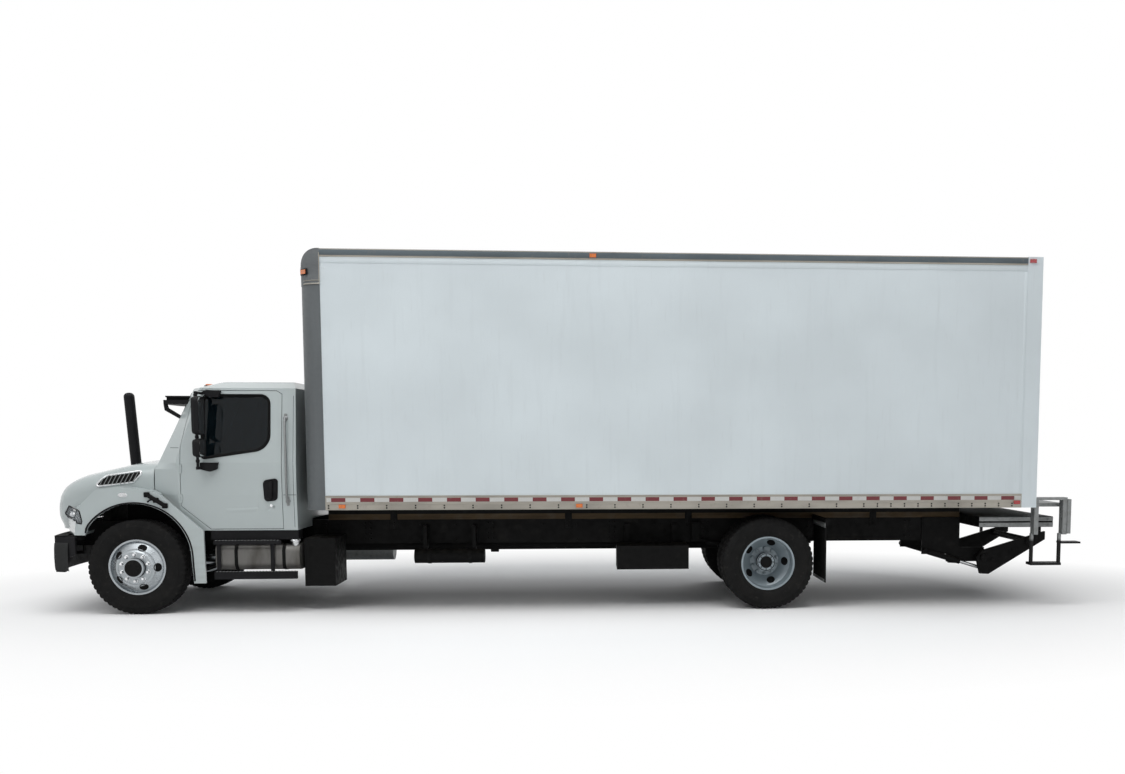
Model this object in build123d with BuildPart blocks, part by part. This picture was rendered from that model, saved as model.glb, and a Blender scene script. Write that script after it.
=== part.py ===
"""A medium conventional box truck with a dry freight body and a tuck-under liftgate.

Millimetres. The truck faces -X, its left side is -Y, +Z is up, and the origin is on the ground
under the middle of its bounding box. Stations in the tables are measured from the front axle.
"""
import os
from math import cos, radians, sin, sqrt

from build123d import *

os.makedirs("parts", exist_ok=True)

# Overall stations, from the front axle
front_overhang = 1010
wheelbase = 6822
box_front = 1801
box_length = 8019
box_rear = box_front + box_length
step_reach = 550
rear_reach = box_rear + step_reach
axle_x = front_overhang - (front_overhang + rear_reach) / 2
rear_axle_x = axle_x + wheelbase

# Tyres, rims and hubs
tyre_diameter = 1020
tyre_width = 276
rim_radius = 286
rim_flange_radius = 300
rim_width = 210
rim_wall = 12
seat_gap = 0.3
axle_z = tyre_diameter / 2
front_track = 2030
dual_track = 1826
dual_spacing = 340
hub_radius = 105
drum_radius = 205
spindle_radius = 45
running_gap = 0.05
hand_hole_radius = 30
hand_hole_circle = 218
disc_seat = 68

# Frame rails and what they carry
frame_width = 864
frame_top = 960
rail_depth = 275
rail_flange = 85
rail_web = 9
rail_front = -860
rail_rear = box_rear - 570
sill_height = 65
long_sill_height = 102
crossmember_height = 76
floor_thickness = 36

# Freight box
box_width = 2590
box_top = 3867
side_rail_bottom = frame_top + sill_height + long_sill_height
side_rail_height = 154
top_rail_height = 84
wall_thickness = 28
rail_thickness = 34
corner_radius = 240
nose_radius = 215
cap_depth = 370
cap_reach = 260
cap_proud = 4
roof_crown = 16
rear_post_width = 171
rear_header_height = 260
door_panel_count = 7
floor_z = side_rail_bottom + crossmember_height + floor_thickness
crossmember_pitch = 304.8

# Cab
cab_rear = 1691
cab_floor = 900
floor_top = 1040
belt_z = 1630
roof_edge_z = 2430
roof_top_z = 2503
cab_half_width = 1105
cab_wall = 50
door_gap = 6
door_front = 474
door_rear = 1542
well_radius = 650
well_centre_z = 605

# Hood
arch_radius = 590
fender_half_width = 1160
hood_skin = 28
hood_gap = 12
hinge_y = 280
hinge_width = 36
hinge_radius = 22
hood_pivot_x = -930
hood_pivot_z = 850

# Steering
kingpin_y = 850

# Liftgate
gate_pivot_x = box_rear - 325
gate_pivot_z = 498
gate_arm_reach = 718
gate_arm_rise = 249
gate_arm_y = 560
gate_arm_thickness = 50

half_box = box_width / 2
half_frame = frame_width / 2
SIDES = (("left", -1), ("right", 1))


def save(builder, label):
    """Name a finished piece and write it."""
    builder.part.label = label
    export_step(builder.part, f"parts/{label}.step")


def station(x):
    """Turn a distance behind the front axle into the part's own X."""
    return axle_x + x


def side_plane(y):
    """A plane across the truck at y, drawn in X and Z, whose normal points to -Y."""
    return Plane(origin=(0, y, 0), x_dir=(1, 0, 0), z_dir=(0, -1, 0))


def block(x0, x1, y0, y1, z0, z1, mode=Mode.ADD):
    """A box between two corners, in the open part."""
    with Locations(((x0 + x1) / 2, (y0 + y1) / 2, (z0 + z1) / 2)):
        Box(abs(x1 - x0), abs(y1 - y0), abs(z1 - z0), mode=mode)


def rod_y(x, z, y0, y1, radius, mode=Mode.ADD):
    """A round bar along Y, in the open part."""
    with Locations((x, (y0 + y1) / 2, z)):
        Cylinder(radius, abs(y1 - y0), rotation=(90, 0, 0), mode=mode)


def rod_x(y, z, x0, x1, radius, mode=Mode.ADD):
    """A round bar along X, in the open part."""
    with Locations(((x0 + x1) / 2, y, z)):
        Cylinder(radius, abs(x1 - x0), rotation=(0, 90, 0), mode=mode)


def upright(x, y, z0, z1, radius, mode=Mode.ADD):
    """A round bar along Z at a station, in the open part."""
    with Locations((station(x), y, (z0 + z1) / 2)):
        Cylinder(radius, z1 - z0, mode=mode)


# Wheels
def tyre_at(x, y):
    """One tyre: tread, shoulders and bulged sidewalls round a bead seat, turned about its axle."""
    half = tyre_width / 2
    outer = tyre_diameter / 2
    bead = rim_radius + seat_gap
    lip = rim_width / 2 - rim_wall - seat_gap
    widest = (outer + bead) / 2
    with BuildSketch(Plane(origin=(x, y, axle_z), x_dir=(0, 1, 0), z_dir=(1, 0, 0))) as profile:
        with BuildLine():
            Polyline((-lip, bead), (lip, bead), (lip, rim_flange_radius + 8))
            ThreePointArc((lip, rim_flange_radius + 8), (half, widest), (half - 22, outer - 30))
            Polyline((half - 22, outer - 30), (half - 42, outer - 4), (0, outer), (42 - half, outer - 4),
                     (22 - half, outer - 30))
            ThreePointArc((22 - half, outer - 30), (-half, widest), (-lip, rim_flange_radius + 8))
            Line((-lip, rim_flange_radius + 8), (-lip, bead))
        make_face()
    revolve(profile.sketch, axis=Axis((x, y, axle_z), (0, 1, 0)))


def rim_at(x, y, out, dish):
    """One disc wheel: its bowl opens to the side out, and its disc lies dish away from its middle."""
    half = rim_width / 2
    inner = rim_radius - rim_wall
    face = dish * out
    with BuildSketch(Plane(origin=(x, y, axle_z), x_dir=(0, 1, 0), z_dir=(1, 0, 0))) as profile:
        with BuildLine():
            Polyline((-half, inner + 6), (-half, rim_flange_radius), (rim_wall - half, rim_flange_radius),
                     (rim_wall - half, rim_radius), (half - rim_wall, rim_radius),
                     (half - rim_wall, rim_flange_radius), (half, rim_flange_radius), (half, inner + 6),
                     (half - 40, inner), (40 - half, inner), (-half, inner + 6))
        make_face()
    revolve(profile.sketch, axis=Axis((x, y, axle_z), (0, 1, 0)))
    with BuildSketch(Plane(origin=(x, y, axle_z), x_dir=(0, 1, 0), z_dir=(1, 0, 0))) as profile:
        with BuildLine():
            Polyline((face - 6 * out, 80), (face + 6 * out, 80), (face + 6 * out, 170),
                     (disc_seat * out + 14 * out, inner + 2), (disc_seat * out, inner + 2),
                     (face - 6 * out, 162), (face - 6 * out, 80))
        make_face()
    revolve(profile.sketch, axis=Axis((x, y, axle_z), (0, 1, 0)))
    with Locations(Plane(origin=(x, y + (face + disc_seat * out) / 2, axle_z), x_dir=(1, 0, 0), z_dir=(0, 1, 0))):
        with PolarLocations(hand_hole_circle, 5):
            Cylinder(hand_hole_radius, 130, mode=Mode.SUBTRACT)


front_wheel_y = front_track / 2
outer_dual_y = dual_track / 2 + dual_spacing / 2
inner_dual_y = dual_track / 2 - dual_spacing / 2
front_dish = 150
rear_dish = dual_spacing / 2 - 6
for side, s in SIDES:
    y = s * front_wheel_y
    with BuildPart() as tyre:
        tyre_at(axle_x, y)
    save(tyre, f"tyre_front_{side}")
    with BuildPart() as wheel:
        rim_at(axle_x, y, s, front_dish)
        rod_y(axle_x, axle_z, y + s * (front_dish - 40), y + s * (front_dish + 58), hub_radius)
        rod_y(axle_x, axle_z, y - s * 60, y + s * (front_dish - 6), drum_radius)
        rod_y(axle_x, axle_z, y - s * 60, y + s * 90, spindle_radius + running_gap, mode=Mode.SUBTRACT)
    save(wheel, f"wheel_front_{side}")
    with BuildPart() as tyre:
        tyre_at(rear_axle_x, s * outer_dual_y)
        tyre_at(rear_axle_x, s * inner_dual_y)
    save(tyre, f"tyres_rear_{side}")
    mate = s * dual_track / 2
    with BuildPart() as wheel:
        rim_at(rear_axle_x, s * outer_dual_y, -s, rear_dish)
        rim_at(rear_axle_x, s * inner_dual_y, s, rear_dish)
        rod_y(rear_axle_x, axle_z, mate - s * 40, mate + s * 150, hub_radius)
        rod_y(rear_axle_x, axle_z, mate - s * 190, mate - s * 10, drum_radius)
        rod_y(rear_axle_x, axle_z, mate - s * 190, mate + s * 90, spindle_radius + running_gap, mode=Mode.SUBTRACT)
    save(wheel, f"wheels_rear_{side}")

# Front axle, knuckles and tie rod
front_drum_inner = front_wheel_y - 60
kingpin_radius = 20
stud_radius = 12
beam_z = axle_z - 90
beam_half = 48
boss_radius = 40
boss_half = 45
with BuildPart() as front_axle:
    with BuildSketch(Plane.YZ.offset(axle_x)):
        with BuildLine():
            Polyline((-kingpin_y, axle_z + boss_half), (-kingpin_y + 45, axle_z + boss_half),
                     (-kingpin_y + 130, beam_z + beam_half), (kingpin_y - 130, beam_z + beam_half),
                     (kingpin_y - 45, axle_z + boss_half), (kingpin_y, axle_z + boss_half),
                     (kingpin_y, axle_z - boss_half), (kingpin_y - 45, axle_z - boss_half),
                     (kingpin_y - 150, beam_z - beam_half), (150 - kingpin_y, beam_z - beam_half),
                     (45 - kingpin_y, axle_z - boss_half), (-kingpin_y, axle_z - boss_half), close=True)
        make_face()
    extrude(amount=50, both=True)
    for end in (-1, 1):
        for face in (-1, 1):
            block(axle_x + face * 18, axle_x + face * 60, -(kingpin_y - 200), kingpin_y - 200,
                  beam_z - 30, beam_z + 30, mode=Mode.SUBTRACT)
        block(axle_x - 60, axle_x + 60, end * 385, end * 465, beam_z + 40, beam_z + 60)
        upright(0, end * kingpin_y, axle_z - boss_half, axle_z + boss_half, boss_radius)
        upright(0, end * kingpin_y, axle_z - 60, axle_z + 60, kingpin_radius + running_gap, mode=Mode.SUBTRACT)
save(front_axle, "front_axle")

knuckle_gap = 3
lug_radius = 38
lug_rise = 100
yoke_outer = 75
arm_x = 210
arm_y = kingpin_y
arm_thickness = 24
arm_bottom = beam_z - beam_half - arm_thickness - 8
for side, s in SIDES:
    yoke = kingpin_y + boss_radius + knuckle_gap
    with BuildPart() as knuckle:
        for z0, z1 in ((axle_z + boss_half + knuckle_gap, axle_z + lug_rise),
                       (axle_z - lug_rise, axle_z - boss_half - knuckle_gap)):
            upright(0, s * kingpin_y, z0, z1, lug_radius)
            block(axle_x - lug_radius, axle_x + lug_radius, s * kingpin_y, s * (kingpin_y + yoke_outer), z0, z1)
        block(axle_x - lug_radius, axle_x + lug_radius, s * yoke, s * (kingpin_y + yoke_outer), arm_bottom,
              axle_z + lug_rise)
        rod_y(axle_x, axle_z, s * (kingpin_y + 70), s * (front_drum_inner - 4), 75)
        rod_y(axle_x, axle_z, s * (kingpin_y + 70), s * (front_wheel_y + 85), spindle_radius)
        upright(0, s * kingpin_y, axle_z - 95, axle_z + 95, kingpin_radius)
        with BuildSketch(Plane.XY.offset(arm_bottom)):
            with BuildLine():
                Polyline((axle_x, s * yoke), (axle_x, s * (kingpin_y + yoke_outer)),
                         (axle_x + arm_x + 25, s * (arm_y + 28)), (axle_x + arm_x + 25, s * (arm_y - 28)),
                         close=True)
            make_face()
        extrude(amount=arm_thickness)
        upright(arm_x, s * arm_y, arm_bottom - 5, arm_bottom + arm_thickness + 5, stud_radius + running_gap,
                mode=Mode.SUBTRACT)
    save(knuckle, f"knuckle_{side}")

tie_rod_radius = 22
tie_rod_z = arm_bottom - tie_rod_radius - 4
with BuildPart() as tie_rod:
    rod_y(axle_x + arm_x, tie_rod_z, -arm_y, arm_y, tie_rod_radius)
    for s in (-1, 1):
        upright(arm_x, s * arm_y, tie_rod_z - tie_rod_radius - 2, tie_rod_z + tie_rod_radius + 2, 30)
        upright(arm_x, s * arm_y, tie_rod_z, arm_bottom + arm_thickness + 10, stud_radius)
save(tie_rod, "tie_rod")

# Rear axle
bowl_radius = 215
with BuildPart() as rear_axle:
    with Locations((rear_axle_x, 0, axle_z)):
        Sphere(bowl_radius)
    block(rear_axle_x - 400, rear_axle_x - 150, -90, 90, axle_z - 90, axle_z + 90)
    for s in (-1, 1):
        block(rear_axle_x - 62, rear_axle_x + 62, s * 150, s * (dual_track / 2 - 196),
              axle_z - 62, axle_z + 62)
        rod_y(rear_axle_x, axle_z, s * (dual_track / 2 - 200), s * (dual_track / 2 + 85), spindle_radius)
save(rear_axle, "rear_axle")

# Leaf springs with their hangers and shackles
rear_seat = axle_z + 62
spring_y = 425
rail_bottom = frame_top - rail_depth
spring_seat = beam_z + 60
with BuildPart() as leaf_springs:
    for s in (-1, 1):
        for length, drop in ((660, 0), (520, 14), (380, 28)):
            z = spring_seat + 42 - drop
            with BuildSketch(side_plane(s * spring_y + 38)):
                with BuildLine():
                    ThreePointArc((axle_x - length, z + 60 * (length / 660) ** 2), (axle_x, z),
                                  (axle_x + length, z + 60 * (length / 660) ** 2))
                    Line((axle_x + length, z + 60 * (length / 660) ** 2),
                         (axle_x + length, z + 60 * (length / 660) ** 2 - 14))
                    ThreePointArc((axle_x + length, z + 60 * (length / 660) ** 2 - 14), (axle_x, z - 14),
                                  (axle_x - length, z + 60 * (length / 660) ** 2 - 14))
                    Line((axle_x - length, z + 60 * (length / 660) ** 2 - 14),
                         (axle_x - length, z + 60 * (length / 660) ** 2))
                make_face()
            extrude(amount=76)
        for end in (-1, 1):
            x = axle_x + end * 660
            rod_y(x, spring_seat + 84, s * spring_y - 38, s * spring_y + 38, 26)
            block(x - 30, x + 30, s * spring_y - 38, s * spring_y + 38, spring_seat + 84, rail_bottom)
    for s in (-1, 1):
        for length, drop in ((760, 0), (620, 18), (480, 36), (340, 54)):
            rise = 90 * (length / 760) ** 2
            z = rear_seat + 72 - drop
            with BuildSketch(side_plane(s * 470 + 38)):
                with BuildLine():
                    ThreePointArc((rear_axle_x - length, z + rise), (rear_axle_x, z), (rear_axle_x + length, z + rise))
                    Line((rear_axle_x + length, z + rise), (rear_axle_x + length, z + rise - 18))
                    ThreePointArc((rear_axle_x + length, z + rise - 18), (rear_axle_x, z - 18),
                                  (rear_axle_x - length, z + rise - 18))
                    Line((rear_axle_x - length, z + rise - 18), (rear_axle_x - length, z + rise))
                make_face()
            extrude(amount=76)
        for end in (-1, 1):
            x = rear_axle_x + end * 745
            block(x - 45, x + 45, s * half_frame, s * 510, rear_seat + 120, frame_top - 40)
save(leaf_springs, "leaf_springs")

# Ladder frame: two channels with the cab's mounts on them, and what runs between them
bearing_x = 3709
gate_x = station(gate_pivot_x)
pin_radius = 34
with BuildPart() as frame_rails:
    for s in (-1, 1):
        block(station(rail_front), station(rail_rear), s * (half_frame - rail_web), s * half_frame,
              rail_bottom, frame_top)
        for z0, z1 in ((rail_bottom, rail_bottom + rail_web), (frame_top - rail_web, frame_top)):
            block(station(rail_front), station(rail_rear), s * (half_frame - rail_flange), s * half_frame, z0, z1)
        for x in (520, 1590):
            block(station(x - 40), station(x + 40), s * (half_frame - rail_flange), s * (half_frame - 8),
                  frame_top, floor_top - cab_wall)
save(frame_rails, "frame_rails")

with BuildPart() as crossmembers:
    for x in (-820, 1050, 2300, bearing_x - 9, 5100, 6200, 7450, rail_rear - 650, rail_rear - 70):
        block(station(x), station(x) + 9, rail_web - half_frame, half_frame - rail_web,
              rail_bottom + 40, frame_top - rail_web)
        block(station(x), station(x) + 60, rail_web - half_frame, half_frame - rail_web,
              frame_top - 60, frame_top - 51)
    rod_y(gate_x, gate_pivot_z, -half_frame, half_frame, pin_radius)
save(crossmembers, "crossmembers")

# Engine and gearbox as plain blocks, radiator and driveshaft
shaft_z = 620
with BuildPart() as powertrain:
    block(station(-420), station(235), -300, 300, rail_bottom - 60, 1290)
    fillet(powertrain.edges().filter_by(Axis.X), 60)
    block(station(235), station(980), -190, 190, 600, 880)
    for z0, z1, half in ((rail_bottom + 40, frame_top + 5, half_frame - rail_flange), (frame_top + 5, 1270, 420)):
        block(station(-640), station(-560), -half, half, z0, z1)
    rod_x(0, shaft_z, station(980), rear_axle_x - 400, 55)
    rod_x(0, shaft_z, station(bearing_x - 45), station(bearing_x + 45), 85)
    block(station(bearing_x), station(bearing_x + 36), -60, 60, shaft_z + 60, 800)
save(powertrain, "powertrain")

# Bumper
bumper_bottom = 462
bumper_top = 842
bumper_depth = 42
with BuildPart() as bumper:
    with BuildSketch(Plane.XY.offset(bumper_bottom)):
        with BuildLine():
            ThreePointArc((station(-860), -1080), (station(-front_overhang), 0), (station(-860), 1080))
            Polyline((station(-860), 1080), (station(-620), 1150), (station(-620), 1110),
                     (station(-840), 1045))
            ThreePointArc((station(-840), 1045), (station(bumper_depth - front_overhang), 0),
                          (station(-840), -1045))
            Polyline((station(-840), -1045), (station(-620), -1110), (station(-620), -1150),
                     (station(-860), -1080))
        make_face()
    extrude(amount=bumper_top - bumper_bottom)
    with BuildSketch(side_plane(1300)):
        with BuildLine():
            Polyline((station(-600), bumper_bottom - 10), (station(-760), bumper_bottom - 10),
                     (station(-690), bumper_bottom + 160), (station(-600), bumper_bottom + 200), close=True)
        make_face()
    extrude(amount=2600, mode=Mode.SUBTRACT)
    for s in (-1, 1):
        block(station(-front_overhang + 30), station(rail_front), s * (half_frame - 60), s * half_frame,
              rail_bottom, 800)
        for y in (hinge_y - 16, hinge_y + hinge_width + 6):
            block(station(hood_pivot_x - 10), station(rail_front), s * y, s * (y + 10), 760, hood_pivot_z)
            rod_y(station(hood_pivot_x), hood_pivot_z, s * y, s * (y + 10), 20)
            block(station(rail_front - 12), station(rail_front), s * y, s * (half_frame - 50), 760, 800)
        rod_y(station(hood_pivot_x), hood_pivot_z, s * (hinge_y - 16), s * (hinge_y + hinge_width + 16), 12)
save(bumper, "bumper")

tow_eye_radius = 22
tow_eye_x = -905
tow_eye_y = 402
tow_eye_z = 590
tow_eye_height = 30
with BuildPart() as tow_eyes:
    for s in (-1, 1):
        block(station(rail_front - 80), station(rail_front - 2), s * (tow_eye_y - 30), s * (tow_eye_y + 30),
              tow_eye_z, tow_eye_z + tow_eye_height)
        block(station(rail_front - 12), station(rail_front - 2), s * (tow_eye_y - 30), s * (tow_eye_y + 30),
              tow_eye_z, rail_bottom)
        upright(tow_eye_x, s * tow_eye_y, tow_eye_z - 5, tow_eye_z + tow_eye_height + 5, tow_eye_radius,
                mode=Mode.SUBTRACT)
save(tow_eyes, "tow_eyes")

# Box underframe: wooden spacers, steel long sills, crossmembers and floor
with BuildPart() as wooden_sills:
    for s in (-1, 1):
        block(station(box_front + 60), station(rail_rear), s * (half_frame - rail_flange), s * half_frame,
              frame_top, frame_top + sill_height)
save(wooden_sills, "wooden_sills")

sill_top = frame_top + sill_height + long_sill_height
with BuildPart() as long_sills:
    for s in (-1, 1):
        block(station(box_front + 60), station(rail_rear), s * (half_frame - 60), s * half_frame,
              frame_top + sill_height, sill_top)
save(long_sills, "long_sills")

crossmember_count = int((box_length - corner_radius - rear_post_width) / crossmember_pitch)
with BuildPart() as underframe:
    for i in range(crossmember_count):
        x = station(box_front + corner_radius + 60 + i * crossmember_pitch)
        block(x - 22, x + 22, -(half_box - rail_thickness), half_box - rail_thickness,
              sill_top, sill_top + crossmember_height)
save(underframe, "underframe")


def load_plan(z, height):
    """The load space's plan, round at its two front corners, as a slab."""
    length = box_length - wall_thickness - rear_post_width
    with BuildPart() as slab:
        with BuildSketch(Plane.XY.offset(z)) as plan:
            with Locations((station(box_front + wall_thickness) + length / 2, 0)):
                Rectangle(length, box_width - 2 * rail_thickness)
            fillet(plan.vertices().group_by(Axis.X)[0], corner_radius - wall_thickness)
        extrude(amount=height)
    return slab.part


with BuildPart() as box_floor:
    add(load_plan(floor_z - floor_thickness, floor_thickness))
save(box_floor, "box_floor")

# Box walls, roof and rails
panel_front = box_front + corner_radius
panel_rear = box_rear - rear_post_width
wall_bottom = side_rail_bottom + side_rail_height
top_rail_bottom = box_top - top_rail_height
with BuildPart() as side_walls:
    for s in (-1, 1):
        block(station(panel_front), station(panel_rear), s * (half_box - 4), s * (half_box - wall_thickness),
              wall_bottom, top_rail_bottom)
save(side_walls, "side_walls")

with BuildPart() as side_rails:
    for s in (-1, 1):
        block(station(panel_front), station(panel_rear), s * half_box, s * (half_box - rail_thickness),
              side_rail_bottom, wall_bottom)
        block(station(panel_front), station(panel_rear), s * half_box, s * (half_box - rail_thickness),
              top_rail_bottom, box_top)
save(side_rails, "side_rails")


def nose_form(inset, low, rear):
    """The front of the freight box as one solid, its skin moved inwards by inset, round in plan and side view."""
    front = station(box_front + inset)
    wide = half_box - inset
    top = box_top - inset
    turn = corner_radius - inset
    bend = nose_radius - inset
    cut = 1 - sqrt(0.5)
    with BuildPart() as form:
        with BuildSketch(Plane.XY.offset(low)) as plan:
            with Locations((rear, 0)):
                Rectangle(2 * (rear - front), 2 * wide)
            fillet(plan.vertices().group_by(Axis.X)[0], turn)
            with Locations((rear + turn, 0)):
                Rectangle(2 * turn, 3 * wide, mode=Mode.SUBTRACT)
        extrude(amount=top + 50 - low)
        with BuildSketch(side_plane(half_box + 50)) as side:
            with BuildLine():
                Polyline((front - 60, low - 60), (front - 60, top - bend), (front - 2, top - bend))
                ThreePointArc((front - 2, top - bend), (front + cut * bend, top - cut * bend), (front + bend, top))
                Polyline((front + bend, top), (rear + 60, top), (rear + 60, low - 60), (front - 60, low - 60))
            make_face()
        extrude(amount=box_width + 100, mode=Mode.INTERSECT)
    return form.part


nose_void = nose_form(wall_thickness, side_rail_bottom - 20, station(panel_front) + 20)
with BuildPart() as front_wall:
    add(nose_form(0, side_rail_bottom, station(panel_front)))
    add(nose_void, mode=Mode.SUBTRACT)
    for s in (-1, 1):
        block(station(box_front) - 40, station(panel_front) + 40, s * (half_box - cap_reach), s * (half_box + 40),
              box_top - cap_depth, box_top + 40, mode=Mode.SUBTRACT)
save(front_wall, "front_wall")

with BuildPart() as corner_caps:
    add(nose_form(-cap_proud, side_rail_bottom, station(panel_front)))
    add(nose_void, mode=Mode.SUBTRACT)
    block(station(box_front) - 40, station(panel_front) + 40, cap_reach - half_box, half_box - cap_reach,
          side_rail_bottom - 40, box_top + 40, mode=Mode.SUBTRACT)
    block(station(box_front) - 40, station(panel_front) + 40, -half_box - 40, half_box + 40,
          side_rail_bottom - 40, box_top - cap_depth, mode=Mode.SUBTRACT)
save(corner_caps, "corner_caps")

roof_edge = half_box - rail_thickness
with BuildPart() as box_roof:
    with BuildSketch(Plane.YZ.offset(station(panel_front))):
        with BuildLine():
            ThreePointArc((-roof_edge, box_top - 4), (0, box_top + roof_crown), (roof_edge, box_top - 4))
            Polyline((roof_edge, box_top - 4), (roof_edge, box_top - 36), (-roof_edge, box_top - 36),
                     (-roof_edge, box_top - 4))
        make_face()
    extrude(amount=panel_rear - panel_front)
save(box_roof, "box_roof")

door_top = box_top - rear_header_height
post_y = half_box - 110
with BuildPart() as rear_frame:
    block(station(panel_rear), station(box_rear), -half_box, half_box, side_rail_bottom, box_top + 6)
    block(station(panel_rear) - 1, station(box_rear) + 1, -post_y, post_y, floor_z, door_top, mode=Mode.SUBTRACT)
save(rear_frame, "rear_frame")

door_x = box_rear - 90
panel_height = (door_top - floor_z - 4) / door_panel_count
with BuildPart() as rollup_door:
    for i in range(door_panel_count):
        z = floor_z + 2 + i * panel_height
        block(station(door_x), station(door_x) + 26, seat_gap - post_y, post_y - seat_gap, z, z + panel_height)
        block(station(door_x) + 20, station(door_x) + 28, -post_y, post_y, z - 3, z + 3, mode=Mode.SUBTRACT)
save(rollup_door, "rollup_door")

# Cab: a ruled envelope through named plan sections, hollow by the same envelope drawn smaller
cowl_half = 985
cab_sections = (
    # height, nose station, corner station, corner half width, shoulder station, side half width, rear station
    (cab_floor, 330, 340, 900, 470, cab_half_width - 20, cab_rear),
    (1282, 262, 165, cowl_half, 455, cab_half_width, cab_rear),
    (belt_z - 70, 130, 168, cowl_half, 450, cab_half_width - 3, cab_rear),
    (belt_z, 100, 193, 930, 430, cab_half_width - 5, cab_rear),
    (roof_edge_z, 450, 545, 800, 675, cab_half_width - 115, cab_rear - 10),
    (roof_top_z, 640, 760, 640, 890, cab_half_width - 300, cab_rear - 70),
)


def cab_plan(nose, corner, corner_y, shoulder, side_y, rear, inset):
    """The cab's outline at one height: bowed front, angled corners, straight sides and back."""
    with BuildLine() as outline:
        ThreePointArc((station(corner + inset), inset - corner_y), (station(nose + inset), 0),
                      (station(corner + inset), corner_y - inset))
        Polyline((station(corner + inset), corner_y - inset), (station(shoulder + inset), side_y - inset),
                 (station(rear - inset), side_y - inset), (station(rear - inset), inset - side_y),
                 (station(shoulder + inset), inset - side_y), (station(corner + inset), inset - corner_y))
    return outline


def cab_envelope(inset):
    """The cab as one solid, its skin moved inwards by inset, with the wheel wells cut out of it."""
    heights = [row[0] for row in cab_sections]
    heights[0] -= inset
    heights[-1] -= inset
    with BuildPart() as envelope:
        for lower in range(len(cab_sections) - 1):
            outlines = []
            for k in (lower, lower + 1):
                with BuildSketch(Plane.XY.offset(heights[k])) as outline:
                    add(cab_plan(*cab_sections[k][1:], inset))
                    make_face()
                outlines.append(outline.sketch)
            loft(outlines, ruled=True)
        for s in (-1, 1):
            rod_y(axle_x, well_centre_z, s * (480 - inset), s * 1200, well_radius + inset, mode=Mode.SUBTRACT)
    return envelope.part


def prism_y(points, y0, y1, grow=0, turns=()):
    """A solid whose X-Z outline is points, stations and heights, between two widths.

    Turns are the radii of the outline's corners, one for each point.
    """
    with BuildPart() as prism:
        with BuildSketch(side_plane(max(y0, y1))) as outline:
            with BuildLine():
                Polyline(*[(station(x), z) for x, z in points], close=True)
            make_face()
            for (x, z), turn in zip(points, turns):
                fillet(outline.vertices().sort_by_distance(Vector(station(x), z, 0))[0], turn)
            if grow:
                offset(amount=grow)
        extrude(amount=abs(y1 - y0))
    return prism.part


cab_outer = cab_envelope(0)
cab_inner = cab_envelope(cab_wall)
cab_hollow = cab_outer - cab_inner

door_slant = 46
fender_low = (719, 901)
fender_high = (293, 1286)
slant_run = (fender_low[0] - fender_high[0]) / (fender_high[1] - fender_low[1])
slant_top = fender_low[1] + (fender_low[0] + door_slant - door_front) / slant_run
door_bottom = cab_floor + 12
door_outline = ((door_front, slant_top), (fender_low[0] + door_slant + 8, door_bottom), (door_rear, door_bottom),
                (door_rear, roof_edge_z - 60), (door_rear - 60, roof_edge_z - 24), (648, roof_edge_z - 24),
                (560, roof_edge_z - 150), (door_front, 1800))
window_outline = ((706, 2349), (1402, 2349), (1407, 1784), (706, 1679))
window_turns = (60, 90, 170, 30)
handle_outline = ((1290, 1318), (1395, 1335), (1395, 1120), (1285, 1105))
handle_turns = (40, 35, 40, 45)
handle_depth = 26
glass_thickness = 6
glass_inset = 20
pane_outer = cab_envelope(glass_inset)
pane_inner = cab_envelope(glass_inset + glass_thickness)
glass_sheet = pane_outer - pane_inner

windshield_outline = ((-800, 1690), (800, 1690), (735, 2370), (-735, 2370))
rear_window_outline = ((-480, 1850), (480, 1850), (480, 2290), (-480, 2290))


def prism_x(points, x0, x1, grow=0):
    """A solid whose Y-Z outline is points, between two stations."""
    with BuildPart() as prism:
        with BuildSketch(Plane.YZ.offset(station(x0))):
            with BuildLine():
                Polyline(*points, close=True)
            make_face()
            if grow:
                offset(amount=grow)
        extrude(amount=x1 - x0)
    return prism.part


floor_half = cab_half_width - 20 - cab_wall
door_axis_x = door_front + 12
hinge_heights = (1200, 1520)
hinge_leaf = 28
hinge_length = 90
barrel = 9
tunnel_half = 480
with BuildPart() as cab_shell:
    add(cab_hollow)
    add(cab_inner & prism_y(((0, floor_top - cab_wall), (cab_rear, floor_top - cab_wall), (cab_rear, floor_top),
                             (0, floor_top)), door_gap + 4 - floor_half, floor_half - door_gap - 4))
    block(station(0), station(cab_rear + 50), -tunnel_half, tunnel_half, 850, frame_top + 20, mode=Mode.SUBTRACT)
    add(prism_x(windshield_outline, 0, 1000), mode=Mode.SUBTRACT)
    add(prism_x(rear_window_outline, cab_rear - 100, cab_rear + 50), mode=Mode.SUBTRACT)
    for side, s in SIDES:
        add(prism_y(door_outline, s * 860, s * 1200), mode=Mode.SUBTRACT)
        for z in hinge_heights:
            for low in (z, z + hinge_length - hinge_leaf):
                block(station(455), station(door_axis_x), s * (cab_half_width - 7), s * (cab_half_width + 3), low,
                      low + hinge_leaf)
                upright(door_axis_x, s * cab_half_width, low, low + hinge_leaf, barrel)
            upright(door_axis_x, s * cab_half_width, z, z + hinge_length, 4)
save(cab_shell, "cab_shell")

with BuildPart() as cab_glass:
    add(glass_sheet & prism_x(windshield_outline, 0, 1000, grow=-seat_gap))
    add(glass_sheet & prism_x(rear_window_outline, cab_rear - 100, cab_rear + 50, grow=-seat_gap))
save(cab_glass, "cab_glass")

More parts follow.
